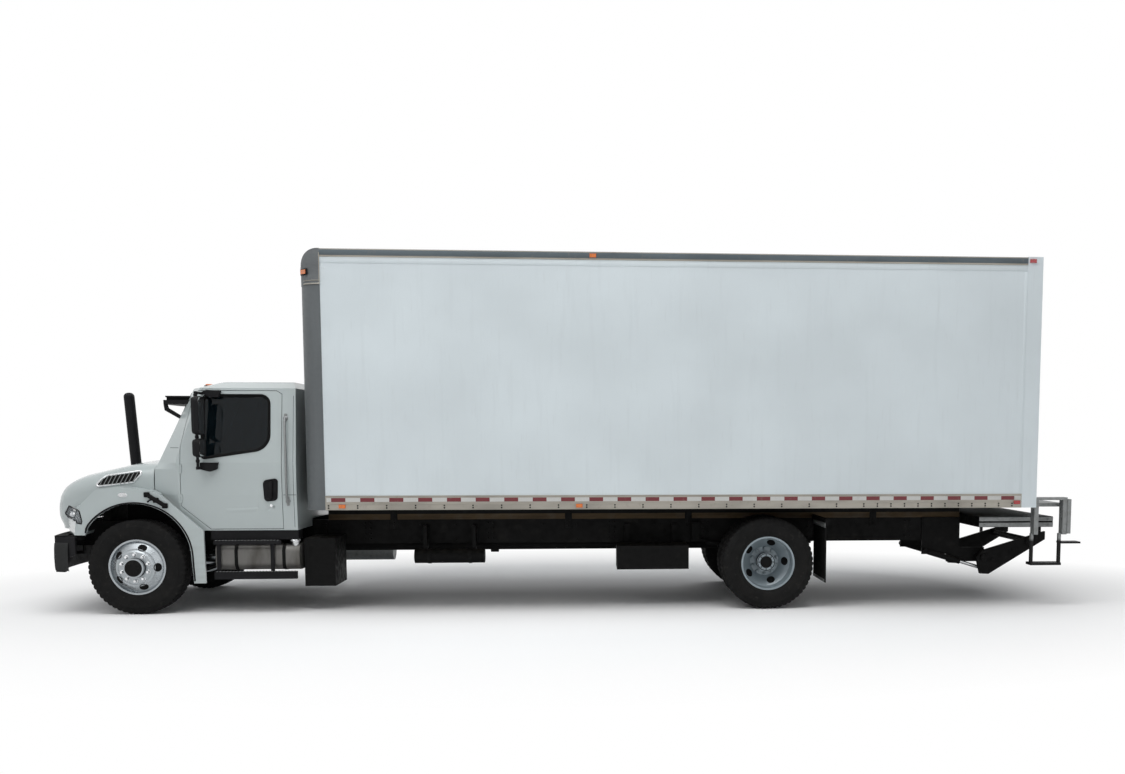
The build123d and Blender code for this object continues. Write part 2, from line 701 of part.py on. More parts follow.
for side, s in SIDES:
    with BuildPart() as door:
        add(cab_hollow & prism_y(door_outline, s * 860, s * 1200, grow=-door_gap))
        add(prism_y(window_outline, s * 800, s * 1200, turns=window_turns), mode=Mode.SUBTRACT)
        add(prism_y(handle_outline, s * (cab_half_width - handle_depth), s * 1200, turns=handle_turns),
            mode=Mode.SUBTRACT)
        for z in hinge_heights:
            upright(door_axis_x, s * cab_half_width, z - 1, z + hinge_length + 1, barrel + 1.5, mode=Mode.SUBTRACT)
            low = z + hinge_leaf + 0.4
            high = z + hinge_length - hinge_leaf - 0.4
            upright(door_axis_x, s * cab_half_width, low, high, barrel)
            block(station(door_axis_x), station(door_axis_x + 16), s * (cab_half_width - 13),
                  s * (cab_half_width - 1), low, high)
            upright(door_axis_x, s * cab_half_width, low, high, 4 + running_gap, mode=Mode.SUBTRACT)
    save(door, f"door_{side}")
    with BuildPart() as door_glass:
        add(glass_sheet & prism_y(window_outline, s * 860, s * 1200, grow=-seat_gap, turns=window_turns))
    save(door_glass, f"door_glass_{side}")

# Mirrors: a bent tube held off the door, with two heads on it
mirror_x = 700
mirror_y = 1200
mirror_heads = ((1925, 2330), (1690, 1890))
tube = 14
with BuildPart() as right_mirror:
    with Locations((station(mirror_x), mirror_y, (1560 + 2386) / 2)):
        Cylinder(tube, 2386 - 1560)
    rod_y(station(mirror_x), 2372, 980, mirror_y + tube, tube)
    rod_y(station(mirror_x), 1575, 1080, mirror_y + tube, tube)
    add(prism_y(((700, 2380), (760, 2409), (900, 2400), (885, 2330), (790, 2330)), 960, 1050))
    add(prism_y(((700, 1632), (885, 1632), (870, 1560), (800, 1535), (700, 1560)), 1060, 1150))
    add(cab_outer, mode=Mode.SUBTRACT)
    for low, high in mirror_heads:
        outlines = []
        for x, shrink in ((mirror_x + 8, 15), (mirror_x + 40, 0), (mirror_x + 80, 0)):
            with BuildSketch(Plane.YZ.offset(station(x))) as outline:
                with Locations((1280, (low + high) / 2)):
                    RectangleRounded(200 - 2 * shrink, high - low - 2 * shrink, 55 - shrink)
            outlines.append(outline.sketch)
        loft(outlines, ruled=True)
save(right_mirror, "mirror_right")
with BuildPart() as left_mirror:
    mirror(right_mirror.part, about=Plane.XZ)
save(left_mirror, "mirror_left")

# Cab inside: seats, dashboard and steering wheel
wheel_hub = (760, -520, 1490)
wheel_rake = 40
with BuildPart() as seats:
    for y, half in ((-520, 250), (450, 400)):
        block(station(980), station(1480), y - half, y + half, 1240, 1360)
        block(station(1100), station(1400), y - half + 60, y + half - 60, floor_top, 1240)
        block(station(1440), station(1540), y - half, y + half, 1360, 1980)
save(seats, "seats")

with BuildPart() as dashboard:
    add(cab_inner & prism_y(((0, 1500), (350, 1560), (520, 1590), (640, 1540), (620, 1330), (480, 1250), (0, 1250)),
                            -930, 930))
    with Locations(Location((station(wheel_hub[0]), wheel_hub[1], wheel_hub[2]), (0, wheel_rake, 0))):
        with Locations((0, 0, -130)):
            Cylinder(30, 220)
save(dashboard, "dashboard")

with BuildPart() as steering_wheel:
    with Locations(Location((station(wheel_hub[0]), wheel_hub[1], wheel_hub[2]), (0, wheel_rake, 0))):
        Torus(215, 16)
        Cylinder(45, 40)
        for turn in (0, 120, 240):
            with Locations(Location((0, 0, 0), (0, 0, turn))):
                with Locations((110, 0, 0)):
                    Box(200, 30, 14)
save(steering_wheel, "steering_wheel")

# Hood: body lofted through sections, fenders drawn in side view, both as skins
hood_rear = 180
hood_sections = (
    # station, half width, top height
    (-945, 600, 1190),
    (-905, 740, 1330),
    (-743, 850, 1441),
    (-368, 940, 1573),
    (hood_rear, 990, 1650),
)
hood_bottom = 905
fender_bottom = 862
crown = 40
hood_corner = 150


def hood_form(inset):
    """The hood's body as one solid, its skin moved inwards by inset."""
    outlines = []
    for x, half, top in hood_sections:
        wide = half - inset
        high = top - inset
        turn = hood_corner - inset / 2
        with BuildSketch(Plane.YZ.offset(station(x + (inset if x < -900 else 0)))) as outline:
            with BuildLine():
                Line((-wide, hood_bottom), (-wide, high - crown - turn))
                ThreePointArc((-wide, high - crown - turn), (-wide + 0.3 * turn, high - crown - 0.3 * turn),
                              (-wide + turn, high - crown))
                ThreePointArc((-wide + turn, high - crown), (0, high), (wide - turn, high - crown))
                ThreePointArc((wide - turn, high - crown), (wide - 0.3 * turn, high - crown - 0.3 * turn),
                              (wide, high - crown - turn))
                Polyline((wide, high - crown - turn), (wide, hood_bottom), (-wide, hood_bottom))
            make_face()
        outlines.append(outline.sketch)
    return outlines


arch_low = (-537, 860)
arch_rear = (585, well_centre_z)
arch_foot = (603, 336)
fender_heel = (727, 336)
fender_crest = ((172, 1334), (-160, 1377), (-383, 1346), (-620, 1200))
fender_nose = ((-800, 1090), (-850, fender_bottom))


def fender_form(inset, y0, y1):
    """One fender in side view between two widths, its outline moved inwards by inset."""
    with BuildPart() as form:
        with BuildSketch(side_plane(max(y0, y1))):
            with BuildLine():
                ThreePointArc((station(arch_low[0]), arch_low[1]),
                              (station(0), well_centre_z + arch_radius),
                              (station(arch_rear[0]), arch_rear[1]))
                Polyline((station(arch_rear[0]), arch_rear[1]), (station(arch_foot[0]), arch_foot[1]),
                         (station(fender_heel[0]), fender_heel[1]), (station(fender_low[0]), fender_low[1]),
                         (station(fender_high[0]), fender_high[1]),
                         *[(station(x), z) for x, z in fender_crest],
                         *[(station(x), z) for x, z in fender_nose],
                         (station(arch_low[0]), arch_low[1]))
            make_face()
            if inset:
                offset(amount=-inset, kind=Kind.INTERSECTION)
        extrude(amount=abs(y1 - y0))
    return form.part


with BuildPart() as hood_solid:
    loft(hood_form(0))
    for s in (-1, 1):
        add(fender_form(0, s * 760, s * fender_half_width))
with BuildPart() as hood_void:
    loft(hood_form(hood_skin))
    for s in (-1, 1):
        add(fender_form(hood_skin, s * 740, s * (fender_half_width - hood_skin)))

grille_outline = ((-400, 945), (400, 945), (440, 1130), (380, 1215), (-380, 1215), (-440, 1130))
lamp_outline = ((-850, 1075), (-790, 1165), (-680, 1120), (-610, 1010), (-640, 975), (-790, 985))
with BuildPart() as hood_skin_part:
    add(hood_solid.part)
    add(hood_void.part, mode=Mode.SUBTRACT)
    for s in (-1, 1):
        rod_y(axle_x, well_centre_z, s * 480, s * (fender_half_width - 45), well_radius, mode=Mode.SUBTRACT)
        block(station(-655), station(699), s * 480, s * (fender_half_width - 45), 200, well_centre_z,
              mode=Mode.SUBTRACT)
        block(station(262), station(800), s * 480, s * (fender_half_width - hood_skin), 200, 1300,
              mode=Mode.SUBTRACT)
    block(station(hood_rear - 2), station(800), -cowl_half, cowl_half, 200, 1700, mode=Mode.SUBTRACT)
    add(cab_envelope(-hood_gap), mode=Mode.SUBTRACT)
louvre_front = -450
louvre_foot = 1378
louvre_pitch = 56
louvre_rise = 9
louvre_width = 34
louvre_height = 92
louvre_count = 7
lamp_prisms = {s: prism_y(lamp_outline, s * 700, s * 1250) for s in (-1, 1)}
with BuildPart() as hood:
    add(hood_skin_part.part)
    add(prism_x(grille_outline, -1000, -700), mode=Mode.SUBTRACT)
    for s in (-1, 1):
        add(lamp_prisms[s], mode=Mode.SUBTRACT)
        for k in range(louvre_count):
            x = louvre_front + k * louvre_pitch
            z = louvre_foot + k * louvre_rise
            tall = louvre_height * (0.55 if k == 0 else 1)
            add(prism_y(((x, z), (x + louvre_width, z + 8), (x + louvre_width + 60, z + tall), (x + 60, z + tall - 8)),
                        s * 700, s * 1000), mode=Mode.SUBTRACT)
        rod_y(station(hood_pivot_x), hood_pivot_z, s * hinge_y, s * (hinge_y + hinge_width), hinge_radius)
        block(station(hood_pivot_x), station(hood_pivot_x + hinge_radius), s * hinge_y, s * (hinge_y + hinge_width),
              hood_pivot_z, hood_bottom + 30)
        rod_y(station(hood_pivot_x), hood_pivot_z, s * (hinge_y - 2), s * (hinge_y + hinge_width + 2), 12.5,
              mode=Mode.SUBTRACT)
save(hood, "hood")

with BuildPart() as headlamps:
    for s in (-1, 1):
        add(hood_skin_part.part & prism_y(lamp_outline, s * 700, s * 1250, grow=-1))
save(headlamps, "headlamps")

with BuildPart() as grille:
    add(prism_x(grille_outline, -935, -905, grow=-1))
    for row in range(6):
        block(station(-940), station(-900), -370, 370, 962 + row * 40, 984 + row * 40, mode=Mode.SUBTRACT)
save(grille, "grille")

stack_lean = 3.7
with BuildPart() as stack:
    with Locations((station(-655), 500, (1400 + 2440) / 2)):
        Cylinder(60, 2440 - 1400, rotation=(0, -stack_lean, 0))
    fillet(stack.edges().group_by(Axis.Z)[-1], 50)
    add(hood_solid.part, mode=Mode.SUBTRACT)
save(stack, "stack")

visor_slats = (
    # front station at the middle, depth, underside, thickness
    (128, 330, 2262, 44),
    (150, 300, 2336, 15),
)
with BuildPart() as sun_visor:
    for front, depth, low, thick in visor_slats:
        with BuildSketch(Plane.XY.offset(low)):
            with BuildLine():
                ThreePointArc((station(front + 110), -860), (station(front), 0), (station(front + 110), 860))
                Line((station(front + 110), 860), (station(front + 60 + depth), 850))
                ThreePointArc((station(front + 60 + depth), 850), (station(front + depth), 0),
                              (station(front + 60 + depth), -850))
                Line((station(front + 60 + depth), -850), (station(front + 110), -860))
            make_face()
        extrude(amount=thick)
    for s in (-1, 1):
        block(station(250), station(620), s * 780, s * 800, 2262, 2345)
        add(prism_y(((215, 2262), (250, 2262), (262, 2220), (420, 2120), (420, 2080), (225, 2195)),
                    s * 770, s * 800))
    add(cab_outer, mode=Mode.SUBTRACT)
save(sun_visor, "sun_visor")

# Tank, steps, boxes and air system on the rails
tank_front = 812
tank_rear = 1700
tank_bottom = 465
tank_top = 747
with BuildPart() as side_tanks:
    block(station(tank_front), station(tank_rear), -1090, -470, tank_bottom, tank_top)
    fillet(side_tanks.edges().filter_by(Axis.X), 90)
    block(station(tank_front), station(tank_rear), 1090, 470, tank_bottom, tank_top)
    for s in (-1, 1):
        for x in (975, 1480):
            block(station(x), station(x + 50), s * 480, s * half_frame, rail_bottom, tank_top - 20)
save(side_tanks, "side_tanks")

with BuildPart() as cab_steps:
    for s in (-1, 1):
        block(station(tank_front), station(tank_rear - 180), s * 1100, s * 1145, tank_top + 6, tank_top + 46)
        block(station(tank_front), station(tank_rear - 20), s * 1095, s * 1145, 375, 455)
        for x in (tank_front + 20, 1400):
            block(station(x), station(x + 40), s * 1100, s * 1112, 375, tank_top + 46)
            block(station(x), station(x + 40), s * half_frame, s * 1112, tank_top + 6, tank_top + 36)
save(cab_steps, "cab_steps")

with BuildPart() as cab_sills:
    for s in (-1, 1):
        block(station(fender_heel[0] + 40), station(cab_rear), s * 900, s * (cab_half_width - 30), tank_top + 52,
              cab_floor)
save(cab_sills, "cab_sills")

with BuildPart() as exhaust:
    rod_x(560, 520, station(1760), station(2420), 130)
    rod_x(560, 560, station(2420), station(2860), 50)
    block(station(1900), station(1950), half_frame, 560, 600, 800)
save(exhaust, "exhaust")

with BuildPart() as frame_boxes:
    block(station(1730), station(2060), -1000, -470, 275, 800)
    block(station(1800), station(1850), -470, -half_frame, rail_bottom, frame_top - 40)
    rod_x(-560, 552, station(2853), station(3643), 82)
    for x in (2950, 3500):
        block(station(x), station(x + 40), -560, -half_frame, 600, frame_top - 60)
    block(station(5150), station(5959), -950, -470, 425, 690)
    for x in (5250, 5800):
        block(station(x), station(x + 60), -480, -half_frame, 600, frame_top - 60)
save(frame_boxes, "frame_boxes")

with BuildPart() as mudflaps:
    for s in (-1, 1):
        block(station(7455), station(7467), s * 600, s * 1230, 294, 1000)
        block(station(7467), station(7500), s * half_frame, s * 1230, 930, 1000)
save(mudflaps, "mudflaps")

# Rear step frames behind the box
step_top = 1236
step_inner = half_box - 145
step_outer = half_box - 45
with BuildPart() as rear_steps:
    for s in (-1, 1):
        for x in (box_rear, box_rear + 330):
            block(station(x), station(x + 50), s * step_inner, s * step_outer, 819, step_top)
        block(station(box_rear), station(box_rear + 380), s * step_inner, s * step_outer, step_top - 30, step_top)
        block(station(box_rear + 380), station(box_rear + 420), s * (step_inner - 10), s * (step_outer + 10), 829,
              step_top - 20)
        for x in (box_rear - 20, box_rear + 300):
            block(station(x), station(x + 30), s * (step_inner + 30), s * (step_outer - 30), 471, 830)
        block(station(box_rear - 20), station(box_rear + 330), s * (step_inner - 50), s * (step_outer - 10), 471, 500)
        block(station(box_rear + 330), station(box_rear + step_reach), s * (step_inner - 50), s * (step_outer - 10),
              715, 735)
    block(station(box_rear), station(box_rear + 380), -step_inner, step_inner, side_rail_bottom,
          side_rail_bottom + 40)
save(rear_steps, "rear_steps")

corner_lamp = (corner_radius + cap_proud + seat_gap + 9) * sqrt(0.5)
with BuildPart() as lamps_amber:
    for s in (-1, 1):
        for x, z in ((box_front + 3060, box_top - 40), (box_front + 380, side_rail_bottom + 40),
                     (box_front + 2900, side_rail_bottom + 40)):
            block(station(x), station(x + 70), s * half_box, s * (half_box + 14), z - 20, z + 20)
        with Locations(Location((station(panel_front) - corner_lamp, s * (half_box - corner_radius + corner_lamp),
                                 box_top - 235), (0, 0, -s * 45))):
            Box(18, 90, 44)
save(lamps_amber, "lamps_amber")

with BuildPart() as lamps_red:
    for s in (-1, 1):
        for x, z in ((panel_rear + 20, box_top - 40), (panel_rear - 90, side_rail_bottom + 60)):
            block(station(x), station(x + 70), s * half_box, s * (half_box + 14), z - 20, z + 20)
        for k in range(3):
            rod_x(s * (1010 - k * 110), side_rail_bottom + 75, station(box_rear), station(box_rear + 25), 33)
save(lamps_red, "lamps_red")

# Liftgate: mounts on the rails, two arms with the folded platform, and their lift cylinders
cylinder_y = 493
cylinder_foot = (-665, 62)
lever_eye = (26, -146)
with BuildPart() as gate_mount:
    for s in (-1, 1):
        block(gate_x - 700, station(rail_rear), s * half_frame, s * (half_frame + 20), 520, frame_top)
        block(gate_x - 400, gate_x + 60, s * half_frame, s * (half_frame + 20), 430, 600)
        rod_y(gate_x, gate_pivot_z, s * half_frame, s * (gate_arm_y + 60), pin_radius)
        rod_y(gate_x + cylinder_foot[0], gate_pivot_z + cylinder_foot[1], s * half_frame, s * (cylinder_y + 20), 18)
save(gate_mount, "gate_mount")

arm_end = gate_x + gate_arm_reach
deck_front = gate_x - 195
deck_rear = gate_x + 675
arm_end_z = gate_pivot_z + gate_arm_rise
with BuildPart() as gate_arms:
    for s in (-1, 1):
        with BuildSketch(side_plane(s * gate_arm_y + gate_arm_thickness / 2)):
            with BuildLine():
                Polyline((gate_x - 30, gate_pivot_z - 200), (gate_x + 70, gate_pivot_z - 206),
                         (arm_end + 30, arm_end_z - 45),
                         (arm_end + 30, arm_end_z + 50), (gate_x - 10, gate_pivot_z + 75),
                         (gate_x - 80, gate_pivot_z), close=True)
            make_face()
        extrude(amount=gate_arm_thickness)
        rod_y(gate_x, gate_pivot_z, s * (gate_arm_y - 60), s * (gate_arm_y + 60), pin_radius + 0.1, mode=Mode.SUBTRACT)
        rod_y(gate_x + lever_eye[0], gate_pivot_z + lever_eye[1], s * (cylinder_y + 18.5), s * gate_arm_y, 18)
        block(arm_end - 60, arm_end, s * (gate_arm_y - 70), s * (gate_arm_y - gate_arm_thickness / 2), arm_end_z,
              890)
    rod_y(gate_x + 560, gate_pivot_z + 190, -gate_arm_y, gate_arm_y, 38)
    for z in (880, 945):
        block(deck_front, deck_rear, -950, 950, z, z + 55)
    for x in (deck_front, deck_rear - 40):
        block(x, x + 40, -950, 950, 930, 950)
save(gate_arms, "gate_arms")

foot_x = gate_x + cylinder_foot[0]
foot_z = gate_pivot_z + cylinder_foot[1]
eye_x = gate_x + lever_eye[0]
eye_z = gate_pivot_z + lever_eye[1]
stretch = sqrt((eye_x - foot_x) ** 2 + (eye_z - foot_z) ** 2)
cylinder_line = ((eye_x - foot_x) / stretch, 0, (eye_z - foot_z) / stretch)
rod_radius = 20
barrel_radius = 32
with BuildPart() as gate_cylinders:
    for s in (-1, 1):
        along = Plane(origin=(foot_x, s * cylinder_y, foot_z), x_dir=(0, 1, 0), z_dir=cylinder_line)
        with BuildSketch(along.offset(24)):
            Circle(barrel_radius)
        extrude(amount=406)
        with BuildSketch(along.offset(60)):
            Circle(rod_radius + 0.5)
        extrude(amount=380, mode=Mode.SUBTRACT)
        rod_y(foot_x, foot_z, s * (cylinder_y - 18), s * (cylinder_y + 18), 32)
        rod_y(foot_x, foot_z, s * (cylinder_y - 30), s * (cylinder_y + 30), 18.5, mode=Mode.SUBTRACT)
save(gate_cylinders, "gate_cylinders")

with BuildPart() as gate_rods:
    for s in (-1, 1):
        along = Plane(origin=(foot_x, s * cylinder_y, foot_z), x_dir=(0, 1, 0), z_dir=cylinder_line)
        with BuildSketch(along.offset(190)):
            Circle(rod_radius)
        extrude(amount=stretch - 190 - 24)
        rod_y(eye_x, eye_z, s * (cylinder_y - 18), s * (cylinder_y + 18), 32)
        rod_y(eye_x, eye_z, s * (cylinder_y - 30), s * (cylinder_y + 30), 18.5, mode=Mode.SUBTRACT)
save(gate_rods, "gate_rods")
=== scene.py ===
"""Looks of a medium box truck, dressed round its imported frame.

Run as a script in Blender 4.5. Lengths are metres. The truck faces -X, its left side is -Y, +Z is up
and the ground is z = 0. Distances called stations are measured rearwards from the front axle.
"""
import math

import bmesh
import bpy
from mathutils import Matrix, Vector
from mathutils.bvhtree import BVHTree


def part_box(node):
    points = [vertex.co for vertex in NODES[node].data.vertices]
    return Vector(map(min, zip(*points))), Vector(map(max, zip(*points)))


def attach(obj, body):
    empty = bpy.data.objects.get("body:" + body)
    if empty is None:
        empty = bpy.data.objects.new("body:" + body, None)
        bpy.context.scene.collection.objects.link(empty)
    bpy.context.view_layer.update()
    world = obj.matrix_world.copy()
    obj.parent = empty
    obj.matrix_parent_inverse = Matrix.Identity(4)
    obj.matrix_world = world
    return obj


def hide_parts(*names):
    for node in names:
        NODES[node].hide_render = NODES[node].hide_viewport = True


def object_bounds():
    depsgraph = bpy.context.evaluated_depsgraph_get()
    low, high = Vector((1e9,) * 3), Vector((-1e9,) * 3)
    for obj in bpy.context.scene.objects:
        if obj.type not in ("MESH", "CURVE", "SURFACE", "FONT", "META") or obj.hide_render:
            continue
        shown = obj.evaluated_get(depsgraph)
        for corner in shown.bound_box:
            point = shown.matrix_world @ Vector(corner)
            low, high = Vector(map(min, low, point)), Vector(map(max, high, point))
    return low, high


bl_info = {
    "name": "Box truck looks",
    "version": (1, 0, 0),
    "blender": (4, 5, 0),
    "location": "View3D > Sidebar > Truck",
    "description": "Finishes, treads, fasteners and trim for a packed box truck frame",
    "category": "Object",
}

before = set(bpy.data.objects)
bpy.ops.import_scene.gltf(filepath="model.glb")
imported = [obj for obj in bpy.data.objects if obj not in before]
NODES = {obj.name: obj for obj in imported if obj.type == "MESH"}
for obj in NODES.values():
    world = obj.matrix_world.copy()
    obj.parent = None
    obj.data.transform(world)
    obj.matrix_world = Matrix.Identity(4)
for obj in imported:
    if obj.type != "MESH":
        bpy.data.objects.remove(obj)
CAD_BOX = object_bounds()
FINISHES = {}
SIDES = (("left", -1), ("right", 1))


def box_of(node):
    """A node's lowest and highest corners as vectors."""
    low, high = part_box(node)
    return Vector(low), Vector(high)


def middle(node):
    """The middle of a node's box."""
    low, high = box_of(node)
    return (low + high) / 2


FRONT_AXLE = middle("wheel_front_left")
REAR_AXLE = middle("wheels_rear_left")
AXLE_X = FRONT_AXLE.x
AXLE_Z = FRONT_AXLE.z
TYRE_RADIUS = (box_of("tyre_front_left")[1] - box_of("tyre_front_left")[0]).z / 2
WALL_LOW, WALL_HIGH = box_of("side_walls")
RAIL_LOW, RAIL_HIGH = box_of("side_rails")
BOX_REAR = box_of("rear_frame")[1].x
BOX_HALF = RAIL_HIGH.y
RAIL_HEIGHT = 0.154


def station(x):
    """The truck's own X of a distance behind the front axle."""
    return AXLE_X + x


# Sizes and colours that a user may change
def colour(label, text, value):
    """A colour setting."""
    return bpy.props.FloatVectorProperty(name=label, description=text, subtype="COLOR", size=3, min=0, max=1,
                                         default=value)


def length(label, text, value):
    """A length setting."""
    return bpy.props.FloatProperty(name=label, description=text, unit="LENGTH", default=value)


def count(label, text, value):
    """A whole-number setting."""
    return bpy.props.IntProperty(name=label, description=text, default=value, min=1)


class TruckColours(bpy.types.PropertyGroup):
    """Base colours of the truck's finishes."""
    # The cab is white like the box; this base is set greyer than the panel's to paint the shade that falls on the cab's
    # sides.
    cab: colour("Cab paint", "Paint of the cab, doors and hood", (0.43, 0.48, 0.48))
    panel: colour("Box panel", "Sheet of the freight box's sides", (0.62, 0.68, 0.705))
    front: colour("Box front", "Sheet of the freight box's front", (0.105, 0.115, 0.120))
    rail: colour("Rail", "Extruded rails of the freight box", (0.36, 0.34, 0.30))
    chassis: colour("Chassis", "Chassis paint", (0.007, 0.007, 0.007))
    plastic: colour("Trim plastic", "Moulded black trim", (0.009, 0.009, 0.010))
    tyre: colour("Tyre", "Tyre rubber", (0.010, 0.010, 0.010))
    front_rim: colour("Front rims", "Front disc wheels", (0.38, 0.41, 0.43))
    rear_rim: colour("Rear rims", "Rear disc wheels", (0.26, 0.31, 0.34))
    tape_red: colour("Tape red", "Red blocks of the reflective tape", (0.160, 0.006, 0.013))
    tape_white: colour("Tape white", "White blocks of the reflective tape", (0.62, 0.62, 0.60))


class TruckSizes(bpy.types.PropertyGroup):
    """Sizes of the trim that is only in the looks."""
    tread_depth: length("Tread depth", "Depth of the main grooves", 0.014)
    tread_blocks: count("Tread blocks", "Shoulder blocks round a tyre", 54)
    tape_pitch: length("Tape pitch", "Distance from one red block to the next", 0.3048)
    tape_height: length("Tape height", "Height of the reflective tape", 0.042)
    rivet_pitch: length("Rivet pitch", "Distance between rivet columns", 0.4064)
    nut_circle: length("Nut circle", "Radius of the wheel nuts' circle", 0.1429)
    floor_size: length("Floor size", "Width of the stage's floor", 300.0)


def colours():
    """The scene's colour settings."""
    return bpy.context.scene.truck_colours


def sizes():
    """The scene's size settings."""
    return bpy.context.scene.truck_sizes


# Finishes
COAT_ROUGHNESS = 0.08
GLASS_IOR = 1.52
EVEN = (1, 1, 1)
MIX_FACTOR, MIX_FIRST, MIX_SECOND, MIX_COLOUR = 0, 6, 7, 2
DUST = (0.22, 0.20, 0.17)
ROAD_DIRT = (0.10, 0.092, 0.082)


def new_node(tree, kind, **values):
    """A new node with some of its inputs or settings given."""
    node = tree.nodes.new(kind)
    for key, value in values.items():
        if key in node.inputs:
            node.inputs[key].default_value = value
        else:
            setattr(node, key, value)
    return node


class Finish:
    """A node material that is being put together."""

    def __init__(self, name, base, rough, metal=0.0, coat=0.0, shine=0.5):
        self.material = bpy.data.materials.new(name)
        self.material.use_nodes = True
        self.tree = self.material.node_tree
        self.shader = self.tree.nodes["Principled BSDF"]
        self.base = (*base, 1)
        self.rough = rough
        self.last_colour = None
        self.last_bump = None
        self.give({"Base Color": self.base, "Roughness": rough, "Metallic": metal, "Coat Weight": coat,
                   "Specular IOR Level": shine, "Coat Roughness": COAT_ROUGHNESS})
        FINISHES[name] = self.material

    def give(self, values):
        """Sets sockets of the shader."""
        for socket, value in values.items():
            self.shader.inputs[socket].default_value = value

    def add(self, kind, **values):
        """A new node in this finish."""
        return new_node(self.tree, kind, **values)

    def link(self, source, target):
        """Joins an output to an input."""
        self.tree.links.new(source, target)

    def coords(self, stretch=EVEN):
        """Positions in the truck's frame, stretched."""
        place = self.add("ShaderNodeTexCoord")
        scale = self.add("ShaderNodeMapping", Scale=stretch)
        self.link(place.outputs["Object"], scale.inputs["Vector"])
        return scale.outputs["Vector"]

    def between(self, source, low, high, to_low=0.0, to_high=1.0):
        """A value moved from one range to another and clamped."""
        span = self.add("ShaderNodeMapRange",
                        **{"From Min": low, "From Max": high, "To Min": to_low, "To Max": to_high})
        self.link(source, span.inputs["Value"])
        return span.outputs["Result"]

    def texture(self, kind, output, low, high, stretch, **values):
        """A texture's output over the truck, moved to 0 to 1."""
        made = self.add(kind, **values)
        self.link(self.coords(stretch), made.inputs["Vector"])
        return self.between(made.outputs[output], low, high)

    def noise(self, scale, low, high, detail=4.0, stretch=EVEN):
        """A blotchy factor from 0 to 1, sharper as low and high come together."""
        return self.texture("ShaderNodeTexNoise", "Fac", low, high, stretch, Scale=scale, Detail=detail)

    def cells(self, scale, low, high):
        """A factor from the distance to scattered points, for grain and beads."""
        return self.texture("ShaderNodeTexVoronoi", "Distance", low, high, EVEN, Scale=scale)

    def rise(self, vector, low, high):
        """A factor that goes from 0 to 1 as a vector's Z does from low to high."""
        split = self.add("ShaderNodeSeparateXYZ")
        self.link(vector, split.inputs["Vector"])
        return self.between(split.outputs["Z"], low, high)

    def below(self, low, high):
        """A factor that is 1 under a low height and nothing over a high one."""
        return self.between(self.rise(self.coords(), low, high), 1, 0)

    def upward(self, low=0.3, high=0.9):
        """A factor that is 1 where a surface faces up."""
        return self.rise(self.add("ShaderNodeNewGeometry").outputs["Normal"], low, high)

    def times(self, first, second):
        """The product of two factors, or of a factor and a number."""
        product = self.add("ShaderNodeMath", operation="MULTIPLY")
        self.link(first, product.inputs[0])
        if isinstance(second, (int, float)):
            product.inputs[1].default_value = second
        else:
            self.link(second, product.inputs[1])
        return product.outputs["Value"]

    def tint(self, factor, other, strength=1.0):
        """Lays another colour over the base where the factor is high."""
        mix = self.add("ShaderNodeMix", data_type="RGBA")
        if strength != 1.0:
            factor = self.times(factor, strength)
        self.link(factor, mix.inputs[MIX_FACTOR])
        mix.inputs[MIX_FIRST].default_value = self.base
        mix.inputs[MIX_SECOND].default_value = (*other, 1)
        if self.last_colour:
            self.link(self.last_colour, mix.inputs[MIX_FIRST])
        self.last_colour = mix.outputs[MIX_COLOUR]
        self.link(self.last_colour, self.shader.inputs["Base Color"])

    def blotch(self, other, strength, scale, low, high, detail=4.0, stretch=EVEN):
        """Lays another colour over the base in blotches."""
        self.tint(self.noise(scale, low, high, detail, stretch), other, strength)

    def roughen(self, other, scale, low=0.4, high=0.7, detail=4.0, stretch=EVEN):
        """Moves the roughness towards another value in blotches."""
        factor = self.noise(scale, low, high, detail, stretch)
        self.link(self.between(factor, 0, 1, self.rough, other), self.shader.inputs["Roughness"])

    def bump(self, height, distance, strength):
        """Adds small relief."""
        bump = self.add("ShaderNodeBump", Strength=strength, Distance=distance)
        self.link(height, bump.inputs["Height"])
        if self.last_bump:
            self.link(self.last_bump, bump.inputs["Normal"])
        self.last_bump = bump.outputs["Normal"]
        self.link(self.last_bump, self.shader.inputs["Normal"])

    def relief(self, distance, strength, scale, low=0.3, high=0.7, detail=2.0, stretch=EVEN):
        """Adds small relief in blotches."""
        self.bump(self.noise(scale, low, high, detail, stretch), distance, strength)


def shade(base, times):
    """A colour made darker or lighter."""
    return [min(1, c * times) for c in base]


